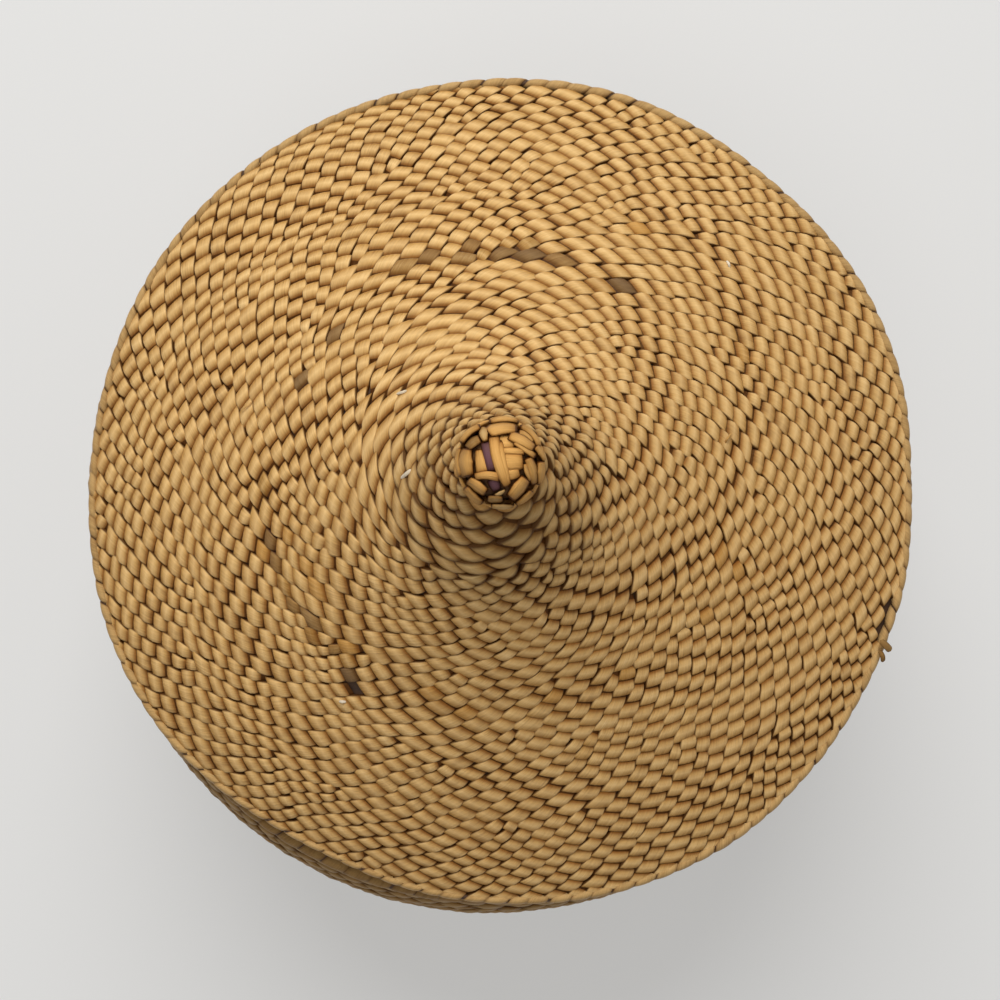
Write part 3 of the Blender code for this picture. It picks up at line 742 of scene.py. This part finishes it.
def whipped_ring(name, middle, centre, section, stitch, shape, place, material, seed):
    """A border whipped with leaf strips, each wrapped once round the ring's oval section.

    Along a strip, u runs from -1 to 1 as it goes 380 degrees round the section, from 145 degrees
    below its outermost place, and on along the ring by 0.9 stitches. Across it, v is half a
    stitch to either side. The strip falls off from its middle by 0.2 v^2 + 0.4 v^14 mm, and by
    0.15 u^8 mm at its ends. Under the strips lies a plain core.
    """
    rng = np.random.default_rng(seed)
    wide, high = section[0] / 2, section[1] / 2
    half_wrap = math.radians(190.0)
    count = round(TURN * middle / stitch)
    lift, size, start = rng.normal(0.0, 1.0, (3, count, 1, 1))
    u, v = np.meshgrid(np.linspace(-1.0, 1.0, 17), np.array([-1.0, -0.88, -0.45, 0.0, 0.45, 0.88, 1.0]))
    aside = v * (0.53 + 0.02 * size) + 0.04 * start
    angle = full_turn(count)[:-1, None, None] + (0.45 * u + aside) * stitch / middle
    around = math.radians(45.0) + half_wrap * u
    out = (-0.20 * v**2 - 0.40 * v**14 + 0.04 * lift - 0.15 * u**8) * MM
    points = shape(middle + (wide + out) * np.cos(around), centre + (high + out) * np.sin(around), angle)
    grain = together(u * half_wrap * wide, aside * stitch) / MM
    grain[..., 0] += rng.uniform(0.0, 900.0, count)[:, None, None]
    # Dirt and painted shade at the strip's edges, painted shade across it, and a slight painted highlight
    marks = {"rim": 0.95 * np.abs(v) ** 7, "tuck": 0.30 * v**2, "crown": 0.3}
    for mark in ("tone", "warmth", "own"):
        marks[mark] = rng.uniform(0.0, 0.8, count)[:, None, None]
    marks |= {"dye": 0.0, "gold": 0.0, "grime_and_shade": 0.0}
    make_piece(name, points, patch_faces(count, *u.shape)[:, ::-1], place, material, grain, marks)
    rings, sides = 17, 96
    around, angle = spread_out(full_turn(rings - 1)[:-1], full_turn(sides))
    core = shape(middle + (wide - CORE_DEPTH) * np.cos(around),
                 centre + (high - CORE_DEPTH) * np.sin(around), angle)
    core = np.concatenate([core, core[:1]])
    make_piece(name + "_core", core, grid_faces(rings, sides + 1), (place[0], (), place[2]), RIBS)


def build_lid():
    """The lid: one woven face outside, cut into its pieces, its lining and its whipped edge."""
    face = Face(lid_top_line(), -1, on_lid)
    shift = lean_of_ribs(face, 0.64, 0.53)
    stitches = lay_stitches(face, even_count(face, LID_STITCH, STEM_STITCH), shift, 11)
    own = stitches["own"]
    stitches["dye"] = nearest_marks(face, stitches, FADED_DYE) * (0.40 + 0.5 * own)
    stitches["gold"] = nearest_marks(face, stitches, GOLDEN) * (0.35 + 0.5 * own)
    radius = face.radius(stitches["up"])
    away_from_window = 0.5 - 0.5 * np.sin(face.sense * stitches["right"])
    # Grime and painted shade go off from 15 to 29 mm from the axis, and come back a little from 76 to 92
    # mm; both are heavier on the side away from the window
    by_knob = (1.0 - smooth_step((radius - 0.015) / 0.014)) * (0.75 + 0.25 * away_from_window)
    by_rim = smooth_step((radius - 0.076) / 0.016) * (0.07 + 0.13 * away_from_window)
    stitches["grime_and_shade"] = by_knob * (0.6 + 0.8 * own) + by_rim
    broken = nearest_marks(face, stitches, BROKEN, 0.0023)
    foot = np.interp(-STEM_FOOT, -face.line[:, 1], face.length)
    radius = np.where(stitches["up"] < foot, 0.0, radius)
    border = LID_RADIUS - LID_BORDER_WIDTH - SEAM
    for name, inner, outer, node, slot in (
        ("lid_rim_stitches", border, 1.0, "lid_border", "palm_leaf_pale"),
        ("lid_lower_stitches", DYED_OUTER, border, "lid_lower_weave", "palm_leaf"),
        ("lid_dyed_stitches", DYED_INNER, DYED_OUTER, "lid_dyed_rows", "palm_leaf_dyed"),
        ("lid_upper_stitches", 0.001, DYED_INNER, "lid_upper_weave", "palm_leaf"),
        ("stem_stitches", -1.0, 0.001, "knob_stem", "palm_leaf"),
    ):
        chosen = only(stitches, (radius > inner) & (radius <= outer) & (broken < 0.5))
        material = KNOB_LEAF if node == "knob_stem" else LEAF
        weave_piece(name, face, chosen, FINE, ("lid", (node,), slot), material)
    place = ("lid", (), "palm_leaf")
    rib_sheet("lid_ribs", face, 44, 96, place)
    under = lid_top_line()
    inside = Face(under[under[:, 1] < STEM_FOOT], 1, on_lid, LID_THICK)
    woven_face("lid_lining", inside, (even_count(inside, LID_LINING_STITCH), shift, 12), COARSE, place,
               LINING, ("lid_lining_ribs", 40, 96))
    whipped_ring("lid_whipped_edge", LID_RADIUS - RIM_ROLL[0] / 2, LID_SEAT + RIM_ROLL[1] / 2, RIM_ROLL,
                 LID_WRAP, on_lid, ("lid", ("lid_border",), "palm_leaf_pale"), EDGE_LEAF, 13)


def build_collar():
    """The collar under the lid, woven inside and out, with its whipped lower edge."""
    foot = LID_SEAT - COLLAR_DEPTH
    top = np.interp(COLLAR_RADIUS, *lid_line().T) - LID_THICK / math.cos(math.radians(LID_SLOPE_RIM))
    down = np.linspace((COLLAR_RADIUS, top), (COLLAR_RADIUS, foot + COLLAR_BORDER[1]), 20)
    for name, face, seed, nodes in (
        ("collar_stitches", Face(down, -1, on_lid), 14, ("lid_collar",)),
        ("collar_lining", Face(down, 1, on_lid, COLLAR_THICK), 15, ()),
    ):
        woven_face(name, face, (even_count(face, COLLAR_STITCH), lean_of_ribs(face), seed), MEDIUM,
                   ("lid", nodes, "palm_leaf"), LINING, (name + "_ribs", 8, 96))
    whipped_ring("collar_whipped_edge", COLLAR_RADIUS - COLLAR_THICK / 2, foot + COLLAR_BORDER[1] / 2,
                 COLLAR_BORDER, COLLAR_WRAP, on_lid, ("lid", ("collar_border",), "palm_leaf_pale"),
                 EDGE_LEAF, 16)


def build_wall():
    """The wall, woven inside and out and begun behind the edge row, with its whipped mouth."""
    line = wall_line()
    line = np.concatenate([line[:1] - FOOT_TUCK * unit(line[1] - line[0]), line])
    face = Face(line, 1, on_wall)
    spread = (even_count(face, WALL_STITCH), lean_of_ribs(face))
    for name, seen, seed, nodes, grid, material, ribs in (
        ("wall_stitches", face, 21, ("wall_weave",), MEDIUM, SHADED_WALL_LEAF, "wall_ribs"),
        ("wall_lining", Face(line, -1, on_wall, WALL_THICK), 22, (), COARSE, LINING, "wall_lining_ribs"),
    ):
        woven_face(name, seen, (*spread, seed), grid, ("basket", nodes, "palm_leaf"), material,
                   (ribs, 48, 96))
    whipped_ring("mouth_whipped_border", MOUTH_RADIUS, WALL_HEIGHT - MOUTH_BORDER[1] / 2, MOUTH_BORDER,
                 MOUTH_WRAP, on_wall, ("basket", ("mouth_border",), "palm_leaf_pale"), SHADED_WALL_LEAF, 23)


def build_base():
    """The base, woven above and below into its edge row, with the plaited start in the middle."""
    line = base_line()
    line = np.concatenate([line, line[-1:] + [(BASE_TUCK, 0.0)]])
    for name, face, seed, nodes, material in (
        ("base_stitches", Face(line, 1, on_wall), 31, ("base_weave",), SHADED_WALL_LEAF),
        ("base_lining", Face(line, -1, on_wall, BASE_THICK), 32, (), LINING),
    ):
        woven_face(name, face, (even_count(face, BASE_STITCH), lean_of_ribs(face, 0.6), seed), MEDIUM,
                   ("basket", nodes, "palm_leaf"), material, (name + "_ribs", 20, 72))
    whipped_ring("base_whipped_row", BASE_RADIUS, EDGE_ROW[1] / 2, EDGE_ROW, BASE_WRAP, on_wall,
                 ("basket", ("base_edge_row",), "palm_leaf"), SHADED_WALL_LEAF, 33)
    plaited_start()


def plaited_start():
    """Ribs crossed over and under in the middle of the base, seen from below and from inside.

    A square of crossings is drawn out to a disc: x = u sqrt(1 - v^2 / 2), and y likewise. Each
    crossing is a pillow that runs on by a fifth under its neighbours along its own strip. Over it,
    a runs along the strip and b across it, each from -1 to 1. It stands 0.35 mm high and sunk by
    0.25 mm, and falls off as 1 - 0.3 b^2 - 0.7 b^12 across and as 1 - a^4 along.
    """
    cells = 9
    long, wide = 1.2 / cells, 0.96 / cells
    spots = (np.arange(cells) + 0.5) * 2.0 / cells - 1.0
    along, across = (part.ravel()[:, None, None] for part in spread_out(spots, spots))
    turned = ((np.arange(cells)[:, None] + np.arange(cells)[None]) % 2 == 0).ravel()
    swap = turned[:, None, None]
    a, b = np.meshgrid(np.linspace(-1.0, 1.0, 9), np.array([-1.0, -0.85, -0.4, 0.0, 0.4, 0.85, 1.0]))
    u = np.clip(along + np.where(swap, a * long, b * wide), -1.0, 1.0)
    v = np.clip(across + np.where(swap, b * wide, a * long), -1.0, 1.0)
    x = u * np.sqrt(1.0 - v * v / 2.0) * START_RADIUS
    y = v * np.sqrt(1.0 - u * u / 2.0) * START_RADIUS
    rise = (0.35 * (1.0 - 0.3 * b**2 - 0.7 * b**12) * (1.0 - a**4) - 0.25) * MM
    low = base_line()
    under = np.interp(np.hypot(x, y), *low.T)
    faces = patch_faces(cells**2, *a.shape)
    flip = np.where(turned.repeat(len(faces) // cells**2)[:, None], faces, faces[:, ::-1])
    grain = together(np.where(swap, u, v), np.where(swap, v, u))
    # Dirt and painted shade at the edges, painted shade at the tucked ends, and a painted highlight along
    # the middle
    marks = {"rim": np.abs(b) ** 10, "tuck": 0.8 * np.abs(a) ** 4, "crown": 1.0 - b * b,
             "dye": 0.0, "gold": 0.0, "grime_and_shade": 0.0}
    for mark, pace in (("tone", 0.37), ("warmth", 0.61), ("own", 0.83)):
        marks[mark] = (np.arange(cells**2) * pace % 1.0)[:, None, None] * 0.8
    for name, height, faces, nodes, material in (
        ("base_start_plait", under - rise, flip[:, ::-1], ("base_start",), EDGE_LEAF),
        ("base_start_lining", under + BASE_THICK + rise, flip, (), LINING),
    ):
        make_piece(name, together(x, y, height), faces, ("basket", nodes, "palm_leaf_pale"), material,
                   grain * START_RADIUS / MM, marks)
    rings, sides = 8, 48
    radius, angle = spread_out(np.linspace(0.5 * MM, START_RADIUS, rings), full_turn(sides))
    sheet = on_wall(radius, np.interp(radius, *low.T) + BASE_THICK / 2, angle)
    make_piece("base_start_core", sheet, grid_faces(rings, sides + 1),
               ("basket", (), "palm_leaf_pale"), RIBS)


# Knob

def head_place(x, y, lift):
    """Places on the knob's head by the way they lie seen from above, from the knob's middle.

    Near the outline, past nine tenths of the head's radius, a place lies as far down the side
    as 2.2 times its distance from there.
    """
    shell = STRIP_SHELL + lift
    away = np.hypot(x, y) / shell
    turn = np.arcsin(np.minimum(away, 0.9)) + 2.2 * np.maximum(away - 0.9, 0.0)
    draw = np.sin(turn) / np.maximum(away, 1e-6)
    height = HEAD_MIDDLE + HEAD_FLATTEN * shell * np.cos(turn)
    return together(x * draw, KNOB_LEAN + y * draw, height)


def curve_through(points, count):
    """A smooth curve through a few points: a parabola through each three, blended in between."""
    points = np.asarray(points, dtype=float)
    knots = np.linspace(0.0, len(points) - 1.0, count)
    padded = np.concatenate([[2 * points[0] - points[1]], points, [2 * points[-1] - points[-2]]])
    k = np.minimum(knots.astype(int), len(points) - 2)
    t = (knots - k)[:, None]
    a, b, c, d = (padded[k + step] for step in range(4))
    return b + 0.5 * t * (c - a + t * (2 * a - 5 * b + 4 * c - d + t * (3 * (b - c) + d - a)))


def head_strip(name, route, width, lift, crown, place, material, tone, warmth, dye=0.0):
    """A strip laid over the head. Its route and width are as seen from above, in millimetres,
    and it is laid 1.24 times as wide, to close up with its neighbours.

    Along the strip u runs from -1 to 1, and across it v does. It is higher in the middle by 1.8
    crowns, as 1 - v^2, its edges turn down by 0.7 mm, as v^9, and its two ends dip under their
    neighbours by 0.6 mm, as u^12.
    """
    steps = 17
    middle = curve_through(route, steps)
    way = unit(np.gradient(middle, axis=0))
    share = np.linspace(0.0, 1.0, steps)
    wide = 0.62 * np.interp(share, np.linspace(0.0, 1.0, len(width)), width)[:, None]
    across = np.array([-1.0, -0.93, -0.8, -0.45, 0.0, 0.45, 0.8, 0.93, 1.0])
    u, v = spread_out(np.linspace(-1.0, 1.0, steps), across)
    x = middle[:, :1] - way[:, 1:] * wide * v
    y = middle[:, 1:] + way[:, :1] * wide * v
    up = lift + 1.8 * crown * (1.0 - v**2) - 0.7 * np.abs(v) ** 9 - 0.6 * np.abs(u) ** 12
    length = np.linalg.norm(middle[-1] - middle[0]) / 2
    grain = together(u * length, v * wide) + 40.0 * tone + 17.0 * warmth
    # Dirt and painted shade at its edges, painted shade where its ends tuck under and towards the head's
    # outline, and a painted highlight on its crown
    marks = {"rim": np.maximum(np.abs(v) ** 8, 0.8 * np.abs(u) ** 14),
             "tuck": np.clip(0.8 * np.abs(u) ** 4 + 0.55 * np.abs(v) ** 3, 0.0, 1.0),
             "crown": (1.0 - u * u) * (1.0 - v * v), "tone": tone, "warmth": warmth, "dye": dye,
             "gold": 0.0, "grime_and_shade": smooth_step((np.hypot(x, y) - 3.0) / 5.5), "own": 0.6}
    make_piece(name, head_place(x * MM, y * MM, up * MM), grid_faces(steps, len(across))[:, ::-1],
               place, material, grain, marks)


def loose_strip(name, points, width, place, material, tone):
    """A loose end of leaf: a flat oval carried along a curve, tapering nearly to a point.

    The points and the width are in millimetres. It is as wide as the square root of 1 - s^4 or
    very nearly, with s from -1 to 1 along it. A quarter of that is its height, nearly straight up.
    """
    steps, sides = 13, 8
    middle = curve_through(points, steps)
    way = np.gradient(middle, axis=0)
    side = unit(np.cross(way, (0.0, 0.0, 1.0)))
    over = unit(np.cross(side, way))
    share, turn = spread_out(np.linspace(-1.0, 1.0, steps), full_turn(sides)[:-1])
    full = (0.5 * width * np.sqrt(1.0 - 0.9996 * share**4))[..., None]
    places = middle[:, None] + full * (side[:, None] * np.cos(turn)[..., None]
                                       + 0.25 * over[:, None] * np.sin(turn)[..., None])
    grain = together(4.0 * share + 70.0 * tone, width * turn / TURN)
    marks = dict.fromkeys(("rim", "tuck", "warmth", "dye", "gold", "grime_and_shade", "own"), 0.0)
    # A painted highlight that grows with the tone
    marks |= {"tone": tone, "crown": 0.8 * tone}
    make_piece(name, places * MM, grid_faces(steps, sides, closed=True)[:, ::-1], place, material,
               grain, marks)


def lid_spot(degrees, radius, out):
    """A place on the lid, or a little over it, in millimetres."""
    height = np.interp(radius * MM, *lid_line().T)
    return on_lid(radius * MM, height + out * MM, math.radians(degrees)) / MM


def build_frays():
    """Small loose ends and flakes of leaf that stand off the lid.

    Each has its node, its leaf, its tone, its width in millimetres, and its route in degrees
    round the lid and millimetres from its axis and off its face.
    """
    for name, node, material, tone, width, route in (
        ("rim_stub", "border", SHADED_WALL_LEAF, 0.3, 1.7,
         ((338.9, 97.6, 0.4), (338.4, 99.7, 0.7), (338.0, 101.1, 0.2))),
        ("rim_stub_pair", "border", SHADED_WALL_LEAF, 0.1, 1.2,
         ((337.6, 98.4, 0.2), (336.9, 99.7, 0.6), (336.2, 100.5, -0.3))),
        ("flake_near_knob", "upper_weave", FLAKE, 0.9, 0.8,
         ((168.0, 19.0, 0.7), (171.0, 20.0, 1.3), (174.0, 21.2, 0.9))),
        ("flake_above", "upper_weave", FLAKE, 0.7, 0.6,
         ((133.0, 29.6, 0.7), (135.0, 30.0, 1.1), (137.2, 30.8, 0.6))),
        ("flake_right", "lower_weave", FLAKE, 0.9, 0.6,
         ((44.4, 75.0, 0.4), (45.0, 75.5, 0.9), (45.7, 75.8, 0.3))),
        ("flake_lower_left", "lower_weave", FLAKE, 0.9, 0.7,
         ((232.4, 60.4, 0.4), (233.0, 60.0, 0.9), (233.8, 59.5, 0.3))),
        ("fray_left", "lower_weave", LEAF, 0.6, 0.5,
         ((160.0, 60.4, 0.3), (161.0, 61.0, 1.1), (162.6, 62.4, 1.3))),
        ("fray_right", "dyed_rows", LEAF, 0.3, 0.5,
         ((12.0, 52.0, 0.3), (13.0, 52.6, 1.2), (14.2, 54.2, 0.9))),
    ):
        place = ("lid", ("lid_" + node,), "palm_leaf_pale" if node == "border" else "palm_leaf")
        loose_strip(name, [lid_spot(*spot) for spot in route], width, place, material, tone)


# Strips of the knob's head in the order they are laid, by their node and their leaf. Each has its
# name, its route, its widths, its lift and its crown in millimetres, and its tone and its warmth.
# A last number is its dye.
KNOB_STRIPS = (
    ("strip_middle", KNOB_LEAF, (
        ("upright", ((-1.25, 5.3), (-0.7, 1.5), (0.4, -2.2), (1.4, -5.0)),
         (1.8, 2.0, 1.9, 0.9), 1.00, 0.12, 0.95, 0.2),
        ("upright_pair", ((-0.1, 4.2), (0.5, 0.6), (1.2, -2.6), (1.7, -4.6)),
         (1.0, 1.3, 1.2, 0.8), 0.88, 0.10, 0.80, 0.3),
    )),
    ("strip_left", DYED_LEAF, (
        ("purple", ((-2.9, 4.0), (-2.3, 1.2), (-1.6, -1.9)), (1.6, 1.6, 1.6), 0.55, 0.05, 0.8, 0.1),
        ("purple_end", ((-1.5, -3.3), (-1.1, -4.3), (-0.5, -5.6)),
         (1.9, 1.9, 1.5), 0.20, 0.10, 0.6, 0.3),
    )),
    ("strip_cross", KNOB_LEAF, (
        ("crossing", ((0.2, 0.0), (2.2, -0.1), (4.6, 0.1)), (3.1, 3.0, 2.6), 0.60, 0.12, 0.95, 0.1),
        ("crossing_edge", ((0.2, 2.1), (2.4, 2.1), (4.9, 2.0)), (1.2, 1.25, 1.1), 0.68, 0.10, 0.85, 0.3),
        ("crossing_foot", ((0.8, -2.5), (2.2, -2.4), (3.9, -2.0)), (1.9, 2.0, 1.6), 0.48, 0.12, 0.80, 0.2),
        ("crossing_back", ((-0.3, 3.9), (1.2, 3.9), (3.0, 3.7)), (2.6, 2.5, 1.8), 0.30, 0.05, 0.30, 0.4),
    )),
    ("strip_rear", KNOB_LEAF, (
        ("arching", ((-2.3, 5.6), (-1.2, 6.3), (1.0, 6.7), (3.4, 6.6)),
         (1.8, 2.5, 2.3, 1.8), 1.20, 0.15, 0.85, 0.3),
    )),
    ("strip_right", KNOB_LEAF, (
        ("diagonal", ((1.7, 5.3), (4.3, 4.2), (6.8, 2.6)), (1.7, 2.1, 1.5), 1.10, 0.15, 0.85, 0.2),
        ("diagonal_pair", ((2.6, 3.9), (4.9, 2.5), (7.0, 1.0)), (0.8, 1.2, 1.1), 0.85, 0.12, 0.45, 0.5),
        ("hood", ((4.0, 7.6), (6.2, 6.6), (7.5, 4.9), (7.9, 3.0)),
         (1.7, 2.4, 2.2, 1.4), 0.95, 0.30, 0.40, 0.5),
        ("hood_lining", ((3.6, 5.9), (5.4, 5.5), (6.8, 4.0)), (1.0, 1.7, 1.2), 0.65, 0.20, 0.45, 0.3),
    )),
    ("strip_left", KNOB_LEAF, (
        ("tan", ((-4.2, 2.5), (-3.85, 0.2), (-3.3, -2.2)), (1.1, 1.8, 2.5), 0.40, 0.08, 0.80, 0.2),
    )),
    ("strip_front", KNOB_LEAF, (
        ("lower_crossing", ((-5.1, -2.9), (-2.7, -2.6), (0.0, -3.0)),
         (1.2, 1.4, 1.5), 0.85, 0.10, 0.75, 0.2),
    )),
    ("strip_left", LEAF, (
        ("upper_left", ((-6.5, 2.7), (-5.3, 3.9), (-3.9, 4.6)),
         (1.5, 2.0, 1.6), 0.65, 0.20, 0.0, 0.1, 0.35),
        ("upper_fold", ((-2.9, 7.0), (-3.2, 5.6), (-2.8, 3.9)),
         (1.4, 1.8, 0.8), 0.90, 0.20, 0.30, 0.1, 0.1),
    )),
    ("binding", KNOB_LEAF, (
        ("fat_stitch", ((-6.5, 2.7), (-6.9, 0.0), (-6.3, -2.9)), (1.8, 3.1, 2.2), 0.80, 0.55, 0.15, 0.9),
        ("fat_stitch_back", ((-8.1, 3.2), (-8.8, 0.2), (-7.9, -3.0)),
         (1.2, 1.6, 1.4), 0.90, 0.30, 0.30, 0.4),
        ("lower_left", ((-6.3, -3.4), (-4.5, -4.7), (-2.7, -6.0)), (1.5, 2.1, 1.5), 0.80, 0.30, 0.50, 0.6),
        ("tucked_stitch", ((5.1, -3.1), (3.7, -5.1), (2.0, -7.1)), (1.7, 2.5, 1.9), 0.90, 0.35, 0.60, 0.5),
        ("brown_stitch", ((5.4, 0.9), (6.5, -1.7), (6.9, -4.4)), (1.4, 2.1, 1.5), 0.70, 0.25, 0.25, 0.3),
        ("brown_edge", ((4.9, -0.3), (5.2, -1.9), (6.1, -3.7)), (0.7, 0.9, 0.8), 0.85, 0.15, 0.70, 0.1),
        ("right_stitch", ((8.3, 0.3), (8.5, -2.1), (8.2, -4.6)), (1.9, 2.5, 1.4), 1.05, 0.35, 0.90, 0.1),
        ("right_upper", ((7.0, 3.2), (8.3, 2.0), (9.2, 0.2)), (1.3, 1.9, 1.3), 1.00, 0.30, 0.50, 0.3),
        ("lower_right", ((6.6, -5.7), (5.3, -7.3), (3.3, -8.7)), (1.6, 2.2, 1.5), 1.10, 0.30, 0.35, 0.3),
    )),
    ("binding", LEAF, (
        ("bottom_stitch", ((2.9, -8.9), (0.6, -9.0), (-1.9, -8.7)), (1.2, 1.7, 1.2), 1.25, 0.30, 0.05, 0.1),
        ("bottom_grey", ((0.6, -7.2), (-0.9, -7.3), (-2.5, -7.1)),
         (1.1, 1.5, 1.1), 0.95, 0.20, 0.05, 0.1, 0.3),
        ("bottom_flake", ((-1.1, -6.5), (0.0, -6.1), (1.1, -5.4)), (0.4, 0.8, 0.3), 0.80, 0.05, 1.0, 0.1),
    )),
    ("binding", KNOB_LEAF, (
        ("left_foot", ((-3.6, -8.4), (-5.5, -7.2), (-7.2, -5.0)), (1.8, 2.6, 1.9), 1.20, 0.30, 0.10, 0.6),
        ("top_row", ((-2.2, 8.2), (0.9, 8.9), (3.9, 8.4)), (1.4, 1.9, 1.3), 1.20, 0.35, 0.55, 0.1),
        ("left_row", ((-7.9, 3.9), (-6.6, 5.9), (-3.9, 7.4)), (1.5, 2.0, 1.5), 1.20, 0.35, 0.40, 0.1),
    )),
)


def build_knob():
    """The plaited head: strips over and under each other, as they lie seen from above, with
    stitches wrapped round its lower half and a wad of leaf inside."""
    for node, material, strips in KNOB_STRIPS:
        slot = "palm_leaf_dyed" if material is DYED_LEAF else "palm_leaf_brown"
        place = ("lid", ("knob_" + node,), slot)
        for name, route, width, lift, crown, *look in strips:
            head_strip("knob_" + name, route, width, lift, crown, place, material, *look)
    turn = np.radians(np.linspace(*WRAPPED, 30))
    shell = HEAD_RADIUS + WRAP_LIFT
    under = np.stack([shell * np.cos(turn), HEAD_MIDDLE + HEAD_FLATTEN * shell * np.sin(turn)], axis=1)
    face = Face(under, 1, on_lid)
    stitches = lay_stitches(face, even_count(face, HEAD_STITCH), lean_of_ribs(face), 41)
    # More grime and painted shade on the stitches under the head
    stitches["grime_and_shade"] += 0.6
    weave_piece("knob_lower_stitches", face, stitches, FINE,
                ("lid", ("knob_binding",), "palm_leaf_brown"), KNOB_LEAF)
    core = bpy.data.objects["knob_core"]
    core.data.materials.clear()
    core.data.materials.append(rib_material("palm_leaf_wad", (0.085, 0.032, 0.008), (0.22, 0.10, 0.030)))


# Stage

BACKDROP = (0.755, 0.75, 0.735)


def seen_rays(nodes):
    """One for rays from the camera, from a mirror or through glass, and zero for the rest."""
    rays = nodes.tree.nodes.new("ShaderNodeLightPath").outputs
    seen = rays["Is Camera Ray"]
    for other in ("Is Glossy Ray", "Is Transmission Ray"):
        seen = nodes.maths("MAXIMUM", seen, rays[other])
    return seen


def table_material():
    """A pale matt table. The camera and mirrors see it with its shadows softened by a share of
    even pale light, which lights nothing else. The share grows to the whole from half a metre
    to a metre and a half from the basket, so that the table runs into the backdrop."""
    softened = 0.45
    material = bpy.data.materials.new("table_top")
    nodes = Nodes(material)
    shader = nodes.tree.nodes["Principled BSDF"]
    nodes.feed(shader, {"Base Color": (0.79, 0.785, 0.77), "Roughness": 0.8})
    even = nodes.add("Emission", {"Color": BACKDROP}, "Emission")
    away = nodes.add("VectorMath", {0: nodes.add("TexCoord", {}, "Object")}, "Value", operation="LENGTH")
    reach = {"Value": away, "From Min": 0.5, "From Max": 1.5, "To Min": softened, "To Max": 1.0}
    share = nodes.maths("MULTIPLY", seen_rays(nodes), nodes.add("MapRange", reach, "Result"))
    both = nodes.add("MixShader", {"Fac": share, 1: shader.outputs["BSDF"], 2: even}, "Shader")
    nodes.feed(nodes.tree.nodes["Material Output"], {"Surface": both})
    return material


def build_stage():
    """A pale table far wider than the basket."""
    half = 3.0
    mesh = bpy.data.meshes.new("table")
    corners = [(-half, -half, 0), (half, -half, 0), (half, half, 0), (-half, half, 0)]
    mesh.from_pydata(corners, [], [(0, 1, 2, 3)])
    mesh.materials.append(table_material())
    table = put_in_scene("table", mesh)


def add_lamp(name, place, size, power):
    """A round lamp that looks at the middle of the basket, with its size in metres and power in
    watts."""
    data = bpy.data.lights.new(name, "AREA")
    data.shape = "DISK"
    data.size = size
    data.energy = power
    lamp = put_in_scene(name, data)
    lamp.location = place
    way = np.array((0.0, 0.0, 0.1)) - np.array(place)
    lamp.rotation_euler = Vector(way).to_track_quat("-Z", "Y").to_euler()


def build_light():
    """An even pale room, seen by the camera and by mirrors as the backdrop, and two lamps."""
    world = bpy.data.worlds.new("room")
    nodes = Nodes(world)
    room = nodes.tree.nodes["Background"]
    nodes.feed(room, {"Color": (1.0, 1.0, 1.0), "Strength": 0.28})
    sides = {"Fac": seen_rays(nodes), 1: room.outputs["Background"],
             2: nodes.add("Background", {"Color": BACKDROP}, "Background")}
    nodes.feed(nodes.tree.nodes["World Output"], {"Surface": nodes.add("MixShader", sides, "Shader")})
    bpy.context.scene.world = world
    add_lamp("window", (-0.12, 1.1, 1.25), 1.2, 22.5)
    add_lamp("ceiling_lamp", (-0.15, -0.35, 1.25), 0.5, 1.7)


def build_camera():
    """Nearly straight overhead, 400 mm above the rim of the lid and a little to the near side."""
    data = bpy.data.cameras.new("camera")
    data.lens = 59.6
    data.sensor_width = 36.0
    camera = put_in_scene("camera", data)
    camera.location = (0.0, -0.008, 0.5103)
    way = np.array((-0.0002, -0.0015, 0.1103)) - np.array(camera.location)
    camera.rotation_euler = (math.atan2(way[1], -way[2]), 0.0, 0.0)
    bpy.context.scene.camera = camera


build_camera()
build_light()
build_stage()
build_lid()
build_wall()
build_base()
build_collar()
build_knob()
build_frays()
bpy.context.scene.view_settings.view_transform = "Standard"
